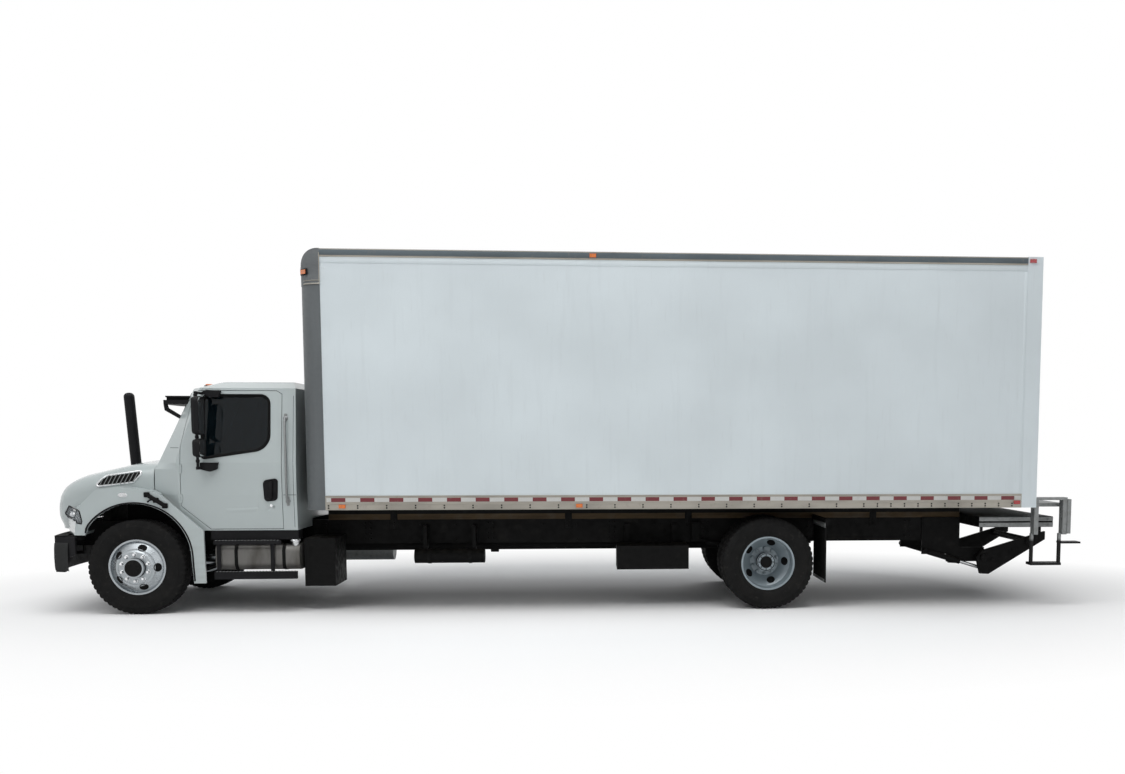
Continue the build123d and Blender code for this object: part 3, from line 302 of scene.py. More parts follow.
def make_paints(tone):
    """Paint of the cab, sheet of the box, and its rails and castings."""
    # The grey of this base is painted shade on the cab's sides; the cab itself is white.
    paint = Finish("cab_paint", tone.cab, 0.25, coat=0.5)
    paint.blotch(shade(tone.cab, 0.94), 0.4, 1.2, 0.25, 0.80, 2)
    paint.tint(paint.times(paint.below(0.3, 1.1), paint.noise(9, 0.40, 0.70, stretch=(1, 1, 3))), DUST, 0.18)
    paint.roughen(0.27, 2, 0.2, 0.9, 1)
    paint.relief(0.0004, 0.10, 6, 0.2, 0.8, 1)

    panel = Finish("box_panel", tone.panel, 0.42, coat=0.1)
    panel.blotch(shade(tone.panel, 1.10), 1.0, 0.9, 0.35, 0.70, 3)
    panel.blotch(shade(tone.panel, 0.90), 0.35, 3.0, 0.55, 0.80, 5, (4, 1, 0.35))
    panel.blotch(DUST, 0.10, 7.0, 0.60, 0.85, 6, (5, 1, 0.5))
    panel.roughen(0.52, 5)
    panel.relief(0.016, 0.55, 1.5, 0.25, 0.75, 2, (1, 1, 0.9))
    panel.relief(0.0003, 0.2, 260)

    front = Finish("box_front_sheet", tone.front, 0.45, metal=0.35)
    front.blotch(shade(tone.front, 1.35), 0.7, 2.0, 0.40, 0.75, 5, (3, 3, 0.4))
    front.roughen(0.58, 18)
    front.relief(0.010, 0.4, 1.8)

    for name, base, rough, metal in (("rail_metal", tone.rail, 0.44, 0.7),
                                     ("cap_casting", (0.150, 0.160, 0.165), 0.55, 0.3),
                                     ("slate_rail", (0.110, 0.135, 0.150), 0.50, 0.3)):
        rail = Finish(name, base, rough, metal=metal, shine=0.3)
        rail.blotch(shade(base, 0.62), 0.8, 1.6, 0.45, 0.75, 6, (1, 1, 4))
        rail.blotch(DUST, 0.4, 22, 0.60, 0.80, 6)
        rail.roughen(rough + 0.15, 30, detail=3, stretch=(0.05, 1, 1))
        rail.relief(0.0003, 0.3, 300, stretch=(0.03, 1, 1))


def make_blacks(tone):
    """Chassis paint, castings, moulded plastic and rubber."""
    for name, base, rough in (("chassis_paint", tone.chassis, 0.48), ("casting_black", (0.010, 0.010, 0.010), 0.62)):
        black = Finish(name, base, rough, shine=0.08)
        black.tint(black.times(black.upward(), black.noise(12, 0.35, 0.65)), DUST, 0.12)
        black.blotch(ROAD_DIRT, 0.10, 6, 0.58, 0.80, 6)
        black.roughen(0.75, 20)
        black.relief(0.0006, 0.35, 180, detail=3)

    for name, base, rough in (("trim_plastic", tone.plastic, 0.50), ("grey_plastic", (0.026, 0.027, 0.027), 0.55),
                              ("soft_rubber", (0.006, 0.006, 0.006), 0.78)):
        trim = Finish(name, base, rough, shine=0.12)
        trim.tint(trim.times(trim.upward(0.5, 1.0), trim.noise(16, 0.4, 0.7)), DUST, 0.10)
        trim.blotch(shade(base, 1.8), 0.5, 4, 0.5, 0.8)
        trim.roughen(rough + 0.14, 24)
        trim.bump(trim.cells(900, 0.0, 0.6), 0.0003, 0.35)

    tyre = Finish("tyre_rubber", tone.tyre, 0.72, shine=0.10)
    tyre.blotch((0.017, 0.016, 0.015), 0.6, 7, 0.45, 0.75, 6)
    tyre.blotch(DUST, 0.08, 26, 0.60, 0.80, 6)
    tyre.roughen(0.86, 16)
    tyre.relief(0.0005, 0.4, 240, detail=3)


def make_metals(tone):
    """Rims, tank sheet, steel and the step frames."""
    for name, base, metal, rough in (("front_rim", tone.front_rim, 0.75, 0.26),
                                     ("rear_rim", tone.rear_rim, 0.15, 0.36)):
        rim = Finish(name, base, rough, metal=metal, coat=0.2)
        rim.blotch(shade(base, 0.70), 0.3, 11, 0.50, 0.78)
        rim.blotch(ROAD_DIRT, 0.20, 34, 0.62, 0.80)
        rim.roughen(rough + 0.08, 12)
        rim.relief(0.0002, 0.10, 40)

    tank = Finish("tank_sheet", (0.150, 0.146, 0.138), 0.46, metal=0.6)
    tank.blotch((0.060, 0.055, 0.047), 0.85, 3, 0.45, 0.72, 6, (2, 1, 0.5))
    tank.roughen(0.60, 24, stretch=(1, 1, 0.1))
    tank.relief(0.0004, 0.3, 120, stretch=(1, 1, 0.05))

    for name, base, rough, metal in (("galvanised", (0.26, 0.27, 0.27), 0.50, 0.7),
                                     ("bright_steel", (0.62, 0.63, 0.64), 0.22, 0.95),
                                     ("chrome_trim", (0.80, 0.81, 0.82), 0.10, 1.0)):
        steel = Finish(name, base, rough, metal=metal)
        steel.blotch(shade(base, 0.60), 0.5, 28, 0.50, 0.75, 6)
        steel.blotch(ROAD_DIRT, 0.35, 9, 0.64, 0.82, 6)
        steel.roughen(rough + 0.14, 40)
        steel.relief(0.0002, 0.2, 260)

    steps = Finish("step_frame", (0.24, 0.25, 0.25), 0.52, metal=0.6)
    steps.blotch(ROAD_DIRT, 0.4, 22, 0.50, 0.75, 6)
    steps.tint(steps.below(0.740, 0.775), (0.008, 0.008, 0.008))
    steps.roughen(0.66, 40)
    steps.relief(0.0003, 0.2, 200)


def make_rest(tone):
    """Wood, cloth, glass, lenses and reflective tape."""
    wood = Finish("hardwood", (0.085, 0.058, 0.030), 0.62, shine=0.15)
    wood.blotch((0.035, 0.024, 0.014), 0.85, 18, 0.35, 0.70, 8, (0.08, 1, 1))
    wood.blotch(ROAD_DIRT, 0.5, 5, 0.5, 0.8, 5)
    wood.roughen(0.72, 20)
    wood.relief(0.0012, 0.45, 90, detail=4, stretch=(0.06, 1, 1))

    cloth = Finish("seat_cloth", (0.045, 0.045, 0.050), 0.92)
    cloth.give({"Sheen Weight": 0.35})
    cloth.blotch((0.085, 0.085, 0.092), 0.6, 60, 0.4, 0.7, 3)
    cloth.bump(cloth.cells(700, 0.0, 0.7), 0.0008, 0.5)

    for name, base, alpha, rough in (("window_glass", (0.002, 0.005, 0.007), 0.82, 0.04),
                                     ("lamp_lens", (0.42, 0.45, 0.47), 0.38, 0.07)):
        glass = Finish(name, base, rough, shine=0.25)
        glass.give({"Alpha": alpha, "IOR": GLASS_IOR})
        glass.blotch(shade(base, 1.5), 0.5, 8, 0.5, 0.8)
        glass.roughen(rough + 0.06, 5, 0.55, 0.85)

    for name, base, glow in (("lens_amber", (0.72, 0.16, 0.01), 0.10), ("lens_red", (0.42, 0.008, 0.012), 0.05),
                             ("lens_clear", (0.60, 0.62, 0.60), 0.0)):
        lens = Finish(name, base, 0.16, coat=0.7)
        lens.give({"Emission Color": lens.base, "Emission Strength": glow})
        lens.tint(lens.cells(220, 0.1, 0.7), shade(base, 0.55), 0.7)
        lens.bump(lens.cells(220, 0.1, 0.7), 0.0006, 0.5)

    for name, base in (("tape_red", tone.tape_red), ("tape_white", tone.tape_white)):
        tape = Finish(name, base, 0.30, coat=0.3)
        tape.tint(tape.cells(160, 0.05, 0.45), shade(base, 0.72), 0.6)
        tape.blotch(DUST, 0.35, 13, 0.60, 0.80, 6)
        tape.roughen(0.44, 30)
        tape.bump(tape.cells(160, 0.05, 0.45), 0.0002, 0.3)


NODE_FINISHES = {
    "cab_paint": ("cab_shell", "door_left", "door_right", "hood"),
    "box_panel": ("side_walls", "rear_frame", "rollup_door"),
    "box_front_sheet": ("front_wall",),
    "cap_casting": ("corner_caps",),
    "rail_metal": ("side_rails", "box_roof"),
    "chassis_paint": ("frame_rails", "frame_boxes", "underframe", "gate_mount", "gate_arms", "tow_eyes",
                      "crossmembers", "long_sills"),
    "casting_black": ("gate_cylinders", "front_axle", "rear_axle", "knuckle_left", "knuckle_right", "tie_rod",
                      "leaf_springs", "powertrain"),
    # cab_sills is a black band under the doors; its black paints the shade beneath the cab.
    "trim_plastic": ("bumper", "cab_steps", "mirror_left", "mirror_right", "stack", "sun_visor", "steering_wheel",
                     "cab_sills"),
    "grey_plastic": ("grille", "dashboard"),
    "soft_rubber": ("mudflaps",),
    "tyre_rubber": ("tyre_front_left", "tyre_front_right", "tyres_rear_left", "tyres_rear_right"),
    "front_rim": ("wheel_front_left", "wheel_front_right"),
    "rear_rim": ("wheels_rear_left", "wheels_rear_right"),
    "tank_sheet": ("side_tanks",),
    "galvanised": ("exhaust",),
    "step_frame": ("rear_steps",),
    "bright_steel": ("gate_rods",),
    "hardwood": ("wooden_sills", "box_floor"),
    "seat_cloth": ("seats",),
    "window_glass": ("cab_glass", "door_glass_left", "door_glass_right"),
    "lamp_lens": ("headlamps",),
    "lens_amber": ("lamps_amber",),
    "lens_red": ("lamps_red",),
}
SHARP = math.radians(38)


def dress_nodes():
    """Gives each node of the frame its finish."""
    for finish, names in NODE_FINISHES.items():
        for name in names:
            for place in NODES[name].material_slots:
                place.link = "OBJECT"
                place.material = FINISHES[finish]


# How far the nose goes forward by height, and the hood's corners back by their distance from the middle
NOSE_PUSH = ((0.935, 0.0), (0.985, 0.028), (1.035, 0.046), (1.200, 0.052), (1.300, 0.061), (1.350, 0.074),
             (1.400, 0.092), (1.450, 0.120), (1.500, 0.132), (1.550, 0.100), (1.600, 0.035), (1.650, 0.0))
CORNER_PULL = ((0.84, 0.0), (0.90, 0.017), (1.00, 0.070), (1.10, 0.157), (1.16, 0.240), (1.20, 0.26))
# Where these set in: by the distance ahead of the front axle, and by the distance from the middle
PUSH_AHEAD = ((0.12, 0), (0.52, 1))
PUSH_ASIDE = ((0.70, 1), (0.98, 0))
PULL_AHEAD = ((0.49, 0), (0.84, 1))
SPREAD = 4
RESHAPED = {"hood": ("cab_paint", "white_paint"), "headlamps": ("lamp_lens", "lamp_clear")}


# Mesh work
def add_object(name, data):
    """A new object in the scene."""
    made = bpy.data.objects.new(name, data)
    bpy.context.scene.collection.objects.link(made)
    return made


def around(total, shift=0.0):
    """Angles that go evenly round a circle."""
    return [math.tau * (k + shift) / total for k in range(total)]


def paced(start, end, pitch):
    """Places from a start up to an end, a pitch apart."""
    while start < end:
        yield start
        start += pitch


# Cushions: how square they are, and the channels sewn into them
CROWN = 5.0
CHANNEL_DEPTH = 0.16
CHANNEL_WIDTH = 0.035


def crowned(spot):
    """A point of the unit cube brought onto a rounder form."""
    return spot / sum(abs(c) ** CROWN for c in spot) ** (1 / CROWN)


class Shape:
    """A mesh that is being put together in the truck's own frame."""

    def __init__(self):
        self.mesh = bmesh.new()
        self.paint = 0

    def mark(self, faces):
        """Gives faces the current finish."""
        for face in faces:
            face.material_index = self.paint
        return self

    def quads(self, rows):
        """Faces between neighbouring rows of vertices."""
        return self.mark([self.mesh.faces.new((one[k], one[k + 1], two[k + 1], two[k]))
                          for one, two in zip(rows, rows[1:]) for k in range(len(one) - 1)])

    def ease(self, faces, bevel):
        """Rounds the edges of new faces and gives them the current finish."""
        if bevel:
            edges = list(dict.fromkeys(e for f in faces for e in f.edges))
            made = bmesh.ops.bevel(self.mesh, geom=edges, offset=bevel, segments=2, profile=0.5, affect="EDGES",
                                   clamp_overlap=True)
            faces = [f for f in faces if f.is_valid] + list(made["faces"])
        return self.mark(faces)

    def block(self, low, high, bevel=0.0, turn=None):
        """A box between two corners with its edges rounded, turned about its middle."""
        low, high = Vector(low), Vector(high)
        size = Vector([abs(b - a) for a, b in zip(low, high)])
        place = Matrix.Translation((low + high) / 2) @ (turn or Matrix.Identity(4)) @ Matrix.Diagonal((*size, 1))
        verts = bmesh.ops.create_cube(self.mesh, size=1, matrix=place)["verts"]
        return self.ease(list(dict.fromkeys(f for v in verts for f in v.link_faces)), bevel)

    def brick(self, spot, half, bevel):
        """A box about a place, told by half its size."""
        spot, half = Vector(spot), Vector(half)
        return self.block(spot - half, spot + half, bevel)

    def lathe(self, profile, centre, axis, segments):
        """Turns (radius, along) pairs about an axis through the centre."""
        centre = Vector(centre)
        axis = Vector(axis).normalized()
        side = axis.orthogonal().normalized()
        other = axis.cross(side)
        rows = []
        for a in around(segments):
            out = side * math.cos(a) + other * math.sin(a)
            rows.append([self.mesh.verts.new(centre + out * r + axis * h) for r, h in profile])
        return self.quads(rows + rows[:1])

    def prism(self, points, axis, low, high, bevel=0.0):
        """Extrudes an outline along X, Y or Z; its points are in the other two axes, in X, Y, Z order."""
        ends = []
        for at in (low, high):
            spots = [list(p) for p in points]
            for spot in spots:
                spot.insert("XYZ".index(axis), at)
            ends.append([self.mesh.verts.new(spot) for spot in spots])
        bottom, top = ends
        faces = [self.mesh.faces.new(bottom[::-1]), self.mesh.faces.new(top)]
        for k in range(-1, len(points) - 1):
            faces.append(self.mesh.faces.new((bottom[k], bottom[k + 1], top[k + 1], top[k])))
        return self.ease(faces, bevel)

    def tube(self, points, radius, segments=10, closed=False):
        """A round bar through points, capped at its ends."""
        points = [Vector(p) for p in points]
        last = len(points) - 1
        rings = []
        previous = None
        for k, point in enumerate(points):
            if closed:
                run = points[(k + 1) % len(points)] - points[k - 1]
            else:
                run = points[min(k + 1, last)] - points[max(k - 1, 0)]
            run.normalize()
            side = (previous - run * previous.dot(run) if previous else run.orthogonal()).normalized()
            previous = side
            other = run.cross(side)
            ring = [self.mesh.verts.new(point + (side * math.cos(a) + other * math.sin(a)) * radius)
                    for a in around(segments)]
            rings.append(ring + ring[:1])
        if closed:
            return self.quads(rings + rings[:1])
        self.quads(rings)
        return self.mark([self.mesh.faces.new(rings[0][-2::-1]), self.mesh.faces.new(rings[-1][:-1])])

    def nut(self, centre, axis, across, height):
        """A hexagon nut or bolt head with a chamfered crown."""
        r = across / 2
        return self.lathe([(r, 0), (r, height * 0.75), (r * 0.82, height), (0.0005, height)], centre, axis, 6)

    def dome(self, centre, axis, radius, height):
        """A low rivet head."""
        profile = [(radius, 0), (radius * 0.88, height * 0.5), (radius * 0.5, height * 0.92), (0.0004, height)]
        return self.lathe(profile, centre, axis, 8)

    def pillow(self, low, high, channels, thin=2, across=1, detail=16):
        """A crowned cushion that pulls in at its corners, with sewn channels across one axis."""
        low, high = Vector(low), Vector(high)
        centre, half = (low + high) / 2, (high - low) / 2
        steps = [detail] * 3
        steps[across] *= 3
        verts = {}

        def corner(spot):
            """The vertex at one place of the cushion's grid."""
            if spot not in verts:
                place = crowned(Vector(2 * c / n - 1 for c, n in zip(spot, steps)))
                for line in channels:
                    place[thin] *= 1 - CHANNEL_DEPTH * math.exp(-((place[across] - line) / CHANNEL_WIDTH) ** 2)
                verts[spot] = self.mesh.verts.new(centre + Vector(c * h for c, h in zip(place, half)))
            return verts[spot]

        faces = []
        for axis in range(3):
            u, v = (axis + 1) % 3, (axis + 2) % 3
            for end in (0, steps[axis]):
                for i in range(steps[u]):
                    for j in range(steps[v]):
                        ring = []
                        for di, dj in ((0, 0), (1, 0), (1, 1), (0, 1)):
                            spot = [0, 0, 0]
                            spot[axis], spot[u], spot[v] = end, i + di, j + dj
                            ring.append(corner(tuple(spot)))
                        faces.append(self.mesh.faces.new(ring if end else ring[::-1]))
        return self.mark(faces)

    def piping(self, low, high, thin, seam, radius=0.0045, total=56):
        """The cord sewn into a cushion's seam."""
        low, high = Vector(low), Vector(high)
        centre, half = (low + high) / 2, (high - low) / 2
        flat = [k for k in range(3) if k != thin]
        ring = []
        for a in around(total):
            spot = Vector((0, 0, 0))
            spot[flat[0]], spot[flat[1]] = math.cos(a), math.sin(a)
            spot[thin] = seam * max(abs(math.cos(a)), abs(math.sin(a)))
            ring.append(centre + Vector(c * h for c, h in zip(crowned(spot), half)))
        return self.tube(ring, radius, 6, closed=True)

    def sheet(self, rows):
        """A surface through rows of points."""
        return self.quads([[self.mesh.verts.new(p) for p in row] for row in rows])

    def piece(self, name, body, finishes, slot, crease=SHARP):
        """Ends the work: an object with its finishes, that rides on a body."""
        bmesh.ops.recalc_face_normals(self.mesh, faces=self.mesh.faces)
        data = bpy.data.meshes.new(name)
        for edge in self.mesh.edges:
            edge.smooth = len(edge.link_faces) < 2 or edge.calc_face_angle(math.pi) < crease
        for face in self.mesh.faces:
            face.smooth = True
        self.mesh.to_mesh(data)
        self.mesh.free()
        for finish in ([finishes] if isinstance(finishes, str) else finishes):
            data.materials.append(FINISHES[finish])
        made = add_object(name, data)
        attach(made, body)
        return made


def rounded(points, radius, steps=5):
    """An outline's corners cut to arcs of one radius, or of one radius for each corner."""
    result = []
    total = len(points)
    radii = [radius] * total if isinstance(radius, (int, float)) else radius
    for k, point in enumerate(points):
        corner = Vector(point)
        before = Vector(points[k - 1]) - corner
        after = Vector(points[(k + 1) % total]) - corner
        half = before.angle(after) / 2
        reach = min(radii[k] / math.tan(half), before.length / 2.05, after.length / 2.05)
        centre = corner + (before.normalized() + after.normalized()).normalized() * reach / math.cos(half)
        a = corner + before.normalized() * reach - centre
        b = corner + after.normalized() * reach - centre
        sweep = math.pi - 2 * half
        for j in range(steps + 1):
            share = (math.sin(sweep * (1 - j / steps)), math.sin(sweep * j / steps))
            result.append(tuple(centre + (a * share[0] + b * share[1]) / math.sin(sweep)))
    return result


def level(value, curve):
    """A value read from a curve of straight pieces."""
    for (x0, y0), (x1, y1) in zip(curve, curve[1:]):
        if value < x1:
            return y0 + (y1 - y0) * min(max((value - x0) / (x1 - x0), 0), 1)
    return curve[-1][1]


def smooth_level(value, curve, reach):
    """A curve read with its corners rounded over."""
    return sum(level(value + reach * k / SPREAD, curve) * (SPREAD + 1 - abs(k))
               for k in range(-SPREAD, SPREAD + 1)) / (SPREAD + 1) ** 2


def fuller_nose(spot):
    """Where a point of the CAD hood goes on the photo's rounder nose."""
    ahead = AXLE_X - spot.x
    aside = abs(spot.y)
    push = smooth_level(spot.z, NOSE_PUSH, 0.03) * smooth_level(ahead, PUSH_AHEAD, 0.06)
    push *= smooth_level(aside, PUSH_ASIDE, 0.06)
    pull = smooth_level(aside, CORNER_PULL, 0.03) * level(ahead, PULL_AHEAD)
    return Vector((spot.x - push + pull, spot.y, spot.z))


# A ray that slips between two faces is sent again a hair beside them
NUDGES = ((0, 0, 0), (0.0007, 0.0007, 0.0009), (-0.0009, -0.0007, -0.0007))
OUTSIDE = 3


class Skin:
    """The outside of a node, on which trim is laid."""

    def __init__(self, node):
        data = NODES[node].data
        self.node = node
        self.tree = BVHTree.FromPolygons([v.co for v in data.vertices], [p.vertices for p in data.polygons])

    def hit(self, start, run, out):
        """Where a ray from outside meets the node, moved outwards, and on the rounder nose if it is part of it."""
        for nudge in NUDGES:
            spot, normal, _, _ = self.tree.ray_cast(Vector(start) + Vector(nudge), Vector(run))
            if spot is not None:
                break
        else:
            raise ValueError(f"nothing of {self.node} lies beyond {tuple(start)}")
        if normal.dot(Vector(run)) > 0:
            normal = -normal
        spot += normal * out
        return fuller_nose(spot) if self.node in RESHAPED else spot

    def side(self, s, x, z, out=0.0):
        """The point seen from one side at a place in X and Z."""
        return self.hit((x, s * OUTSIDE, z), (0, -s, 0), out)

    def ahead(self, y, z, out=0.0):
        """The point seen from the front at a place in Y and Z."""
        return self.hit((CAD_BOX[0][0] - 1, y, z), (1, 0, 0), out)

    def above(self, x, y, out=0.0):
        """The point seen from above at a place in X and Y."""
        return self.hit((x, y, CAD_BOX[1][2] + 1), (0, 0, -1), out)


def swollen(points, amount):
    """A closed flat outline moved outwards."""
    centre = [sum(p[k] for p in points) / len(points) for k in (0, 1)]
    result = []
    for k, (x, z) in enumerate(points):
        back = points[k - 1]
        ahead = points[(k + 1) % len(points)]
        run = Vector((ahead[0] - back[0], ahead[1] - back[1])).normalized()
        out = Vector((run.y, -run.x))
        if out.dot(Vector((x - centre[0], z - centre[1]))) < 0:
            out = -out
        result.append((x + out.x * amount, z + out.y * amount))
    return result


def densify(points, step):
    """A closed outline with points no further apart than a step."""
    result = []
    for k, point in enumerate(points):
        here = Vector(point)
        run = Vector(points[(k + 1) % len(points)]) - here
        parts = max(1, math.ceil(run.length / step))
        result += [tuple(here + run * j / parts) for j in range(parts)]
    return result


def side_outline(points, turns, steps, gap):
    """A rounded outline in the truck's own X and Z, from stations and heights."""
    return densify(rounded([(station(x), z) for x, z in points], turns, steps), gap)


def drawn_in(outline, spot, share):
    """A closed outline drawn in towards a place, with its first point again at its end."""
    return [(spot[0] + (x - spot[0]) * share, spot[1] + (z - spot[1]) * share) for x, z in outline + outline[:1]]


def wheel_circle(x, y, z, radius, total, shift=0.0):
    """Places round a circle that faces sideways."""
    return [Vector((x + math.cos(a) * radius, y, z + math.sin(a) * radius)) for a in around(total, shift)]


def oblong(x, y, half_x, half_y, radius, steps):
    """A rounded rectangle about a place."""
    return rounded([(x - half_x, y - half_y), (x + half_x, y - half_y), (x + half_x, y + half_y),
                    (x - half_x, y + half_y)], radius, steps)


# Tyres with their treads
TYRE_HALF = 0.138
BEAD_RADIUS = 0.287
GROOVES = (-0.50, -0.17, 0.17, 0.50)
GROOVE_HALF = 0.008
STEPS_PER_BLOCK = 4
# The share of the groove's depth that is cut out of a sidewall, a shoulder and a rib
NOTCHES = (0.0, 0.75, 0.30)
# Angles: how wide a slot is, and how far a shoulder block leans
SLOT_TURN = 0.012
BLOCK_LEAN = 0.020


def tyre_profile(half, inner, outer, depth):
    """(radius, along, kind of place) from bead to bead: ribbed sidewalls, shoulders and four main grooves."""
    lip = half * 0.76
    mid = (outer + inner) / 2
    rows = [(inner, -lip * 0.93, 0), (inner + 0.012, -lip, 0), (inner + 0.020, -lip * 1.02, 0)]
    rows += [(r, -half * w, 0) for r, w in (
        (inner + 0.045, 0.875), (inner + 0.051, 0.905), (inner + 0.078, 0.955), (mid, 1.0), (mid + 0.030, 0.998),
        (mid + 0.034, 1.005), (mid + 0.040, 1.005), (mid + 0.044, 0.992), (outer - 0.060, 0.962),
        (outer - 0.042, 0.930))]
    tread = half * 0.80
    rows += [(outer - 0.026, -half * 0.90, 1), (outer - 0.010, -half * 0.845, 1), (outer - 0.003, -tread, 1)]
    mirrored = [(r, -w, kind) for r, w, kind in reversed(rows)]
    for groove in GROOVES:
        low, high = groove * tread - GROOVE_HALF, groove * tread + GROOVE_HALF
        rows += [(outer, low, 1 if groove == GROOVES[0] else 2), (outer - depth, low + 0.003, 0),
                 (outer - depth, high - 0.003, 0), (outer, high, 1 if groove == GROOVES[-1] else 2)]
    return rows + mirrored


def add_tyre(shape, centre, blocks, depth):
    """One tyre whose shoulder blocks are cut by slots and whose ribs are cut by sipes."""
    profile = tyre_profile(TYRE_HALF, BEAD_RADIUS, TYRE_RADIUS, depth)
    rings = []
    for k, turn in enumerate(around(blocks * STEPS_PER_BLOCK)):
        place = k % STEPS_PER_BLOCK
        row = []
        for r, w, kind in profile:
            reach = r - (depth * NOTCHES[kind] if place == 0 else 0)
            a = turn + (SLOT_TURN if place == 1 else 0) + (BLOCK_LEAN * w / TYRE_HALF if kind else 0)
            row.append(shape.mesh.verts.new((centre.x + math.sin(a) * reach, centre.y + w,
                                             centre.z - math.cos(a) * reach)))
        rings.append(row + row[:1])
    return shape.quads(rings + rings[:1])


class TRUCK_OT_tyres(bpy.types.Operator):
    """Tyres with ribbed sidewalls, shoulder blocks and main grooves."""
    bl_idname = "truck.tyres"
    bl_label = "Tyres"

    def execute(self, context):
        size = sizes()
        for side, _ in SIDES:
            for node, body in ((f"tyre_front_{side}", f"front_wheel_{side}"),
                               (f"tyres_rear_{side}", f"rear_wheels_{side}")):
                low, high = box_of(node)
                shape = Shape()
                for y in sorted({round(edge, 4) for edge in (low.y + TYRE_HALF, high.y - TYRE_HALF)}):
                    add_tyre(shape, Vector(((low.x + high.x) / 2, y, AXLE_Z)), size.tread_blocks, size.tread_depth)
                made = shape.piece(f"tread_{node}", body, "tyre_rubber", "tyre", crease=math.radians(50))
                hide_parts(node)
        return {"FINISHED"}


class TRUCK_OT_finishes(bpy.types.Operator):
    """Makes every finish and gives the frame's nodes theirs."""
    bl_idname = "truck.finishes"
    bl_label = "Finishes"

    def execute(self, context):
        for make in (make_paints, make_blacks, make_metals, make_rest):
            make(colours())
        dress_nodes()
        return {"FINISHED"}


# Wheels: distances from the truck's middle to the outer face of the front disc, and to the mating face at the back
FRONT_DISC = 1.171
REAR_DISC = 0.919
REAR_HUB_END = 1.063
WHEEL_NUTS = 10
WASHER = [(0.022, 0), (0.022, 0.004), (0.0185, 0.006)]
FRONT_STUD = [(0.0105, 0.03), (0.0105, 0.040), (0.004, 0.043), (0.0004, 0.043)]
REAR_STUD = [(0.0105, 0.03), (0.0105, 0.040), (0.0004, 0.042)]
HUB_CAP = [(0.108, -0.050), (0.108, -0.020), (0.098, -0.006), (0.080, 0.000), (0.066, 0.002), (0.062, 0.010),
           (0.050, 0.014), (0.034, 0.014), (0.030, 0.020), (0.0005, 0.022)]
HUB_FLANGE = [(0.106, -0.060), (0.106, -0.008), (0.100, 0.0), (0.092, 0.002), (0.088, -0.004), (0.070, -0.004),
              (0.066, 0.003), (0.0005, 0.006)]


def wheel_nuts(x, y, s, stud):
    """The nuts of a disc wheel on their washers and studs."""
    shape = Shape()
    for spot in wheel_circle(x, y, AXLE_Z, sizes().nut_circle, WHEEL_NUTS, 0.5):
        shape.lathe(WASHER, spot, (0, s, 0), 12)
        shape.nut(spot + Vector((0, s * 0.005, 0)), (0, s, 0), 0.036, 0.026)
        shape.lathe(stud, spot, (0, s, 0), 10)
    return shape


class TRUCK_OT_wheel_nuts(bpy.types.Operator):
    """Studs, nuts, hub caps and rear hubs of the disc wheels."""
    bl_idname = "truck.wheel_nuts"
    bl_label = "Wheel nuts and hubs"

    def execute(self, context):
        for side, s in SIDES:
            nuts = wheel_nuts(AXLE_X, s * FRONT_DISC, s, FRONT_STUD)
            nuts.piece(f"nuts_front_{side}", f"front_wheel_{side}", "chrome_trim", "wheel_white")
            cap = Shape()
            face = box_of(f"wheel_front_{side}")[0 if s < 0 else 1].y - s * 0.020
            cap.lathe(HUB_CAP, (AXLE_X, face, AXLE_Z), (0, s, 0), 48)
            for spot in wheel_circle(AXLE_X, face, AXLE_Z, 0.074, 6):
                cap.nut(spot, (0, s, 0), 0.014, 0.009)
            cap.piece(f"hub_cap_{side}", f"front_wheel_{side}", "trim_plastic", "plastic_black")
            nuts = wheel_nuts(REAR_AXLE.x, s * (REAR_DISC + 0.008), s, REAR_STUD)
            nuts.piece(f"nuts_rear_{side}", f"rear_wheels_{side}", "rear_rim", "wheel_white")
            hub = Shape()
            hub.lathe(HUB_FLANGE, (REAR_AXLE.x, s * REAR_HUB_END, AXLE_Z), (0, s, 0), 48)
            for spot in wheel_circle(REAR_AXLE.x, s * (REAR_HUB_END - 0.004), AXLE_Z, 0.079, 8):
                hub.nut(spot, (0, s, 0), 0.016, 0.010)
            hub.piece(f"hub_rear_{side}", f"rear_wheels_{side}", "chassis_paint", "frame_black")
        return {"FINISHED"}


# Freight box
PANEL_RIVET_STEP = 0.1016
EDGE_RIVET_STEP = 0.0508
TAPE_START = 2.101
TAPE_LIFT = 0.0875
TAPE_THICK = 0.0008


def side_bars(shape, s, low_x, high_x, face, bars):
    """Flat bars along a side of the box: bottom, top, how far they stand out and their bevel."""
    for low, high, out, bevel in bars:
        shape.block((low_x, s * face, low), (high_x, s * (face + out), high), bevel)
    return shape


class TRUCK_OT_box_sides(bpy.types.Operator):
    """Rivet columns, edge strips and seams of the freight box's sides."""
    bl_idname = "truck.box_sides"
    bl_label = "Box sides"

    def execute(self, context):
        face, top = WALL_HIGH.y, WALL_HIGH.z
        for side, s in SIDES:
            rivets = Shape()
            for x in paced(WALL_LOW.x + 0.05, WALL_HIGH.x - 0.06, sizes().rivet_pitch):
                for z in paced(WALL_LOW.z + 0.05, top - 0.09, PANEL_RIVET_STEP):
                    rivets.dome((x, s * face, z), (0, s, 0), 0.0068, 0.0026)
            for x in (WALL_LOW.x + 0.020, WALL_HIGH.x - 0.018):
                for z in paced(WALL_LOW.z + 0.03, top - 0.08, EDGE_RIVET_STEP):
                    rivets.dome((x, s * face, z), (0, s, 0), 0.0060, 0.0030)
            rivets.piece(f"panel_rivets_{side}", "chassis", "box_panel", "panel_white")
            strips = side_bars(Shape(), s, WALL_LOW.x, WALL_HIGH.x, face,
                               ((top - 0.062, top, 0.003, 0.001), (top - 0.066, top - 0.0625, 0.0012, 0)))
            side_bars(strips, s, WALL_HIGH.x - 0.034, WALL_HIGH.x - 0.002, face,
                      ((WALL_LOW.z, top - 0.07, 0.0018, 0.0006),))
            strips.piece(f"panel_strips_{side}", "chassis", "box_panel", "panel_white")
        return {"FINISHED"}


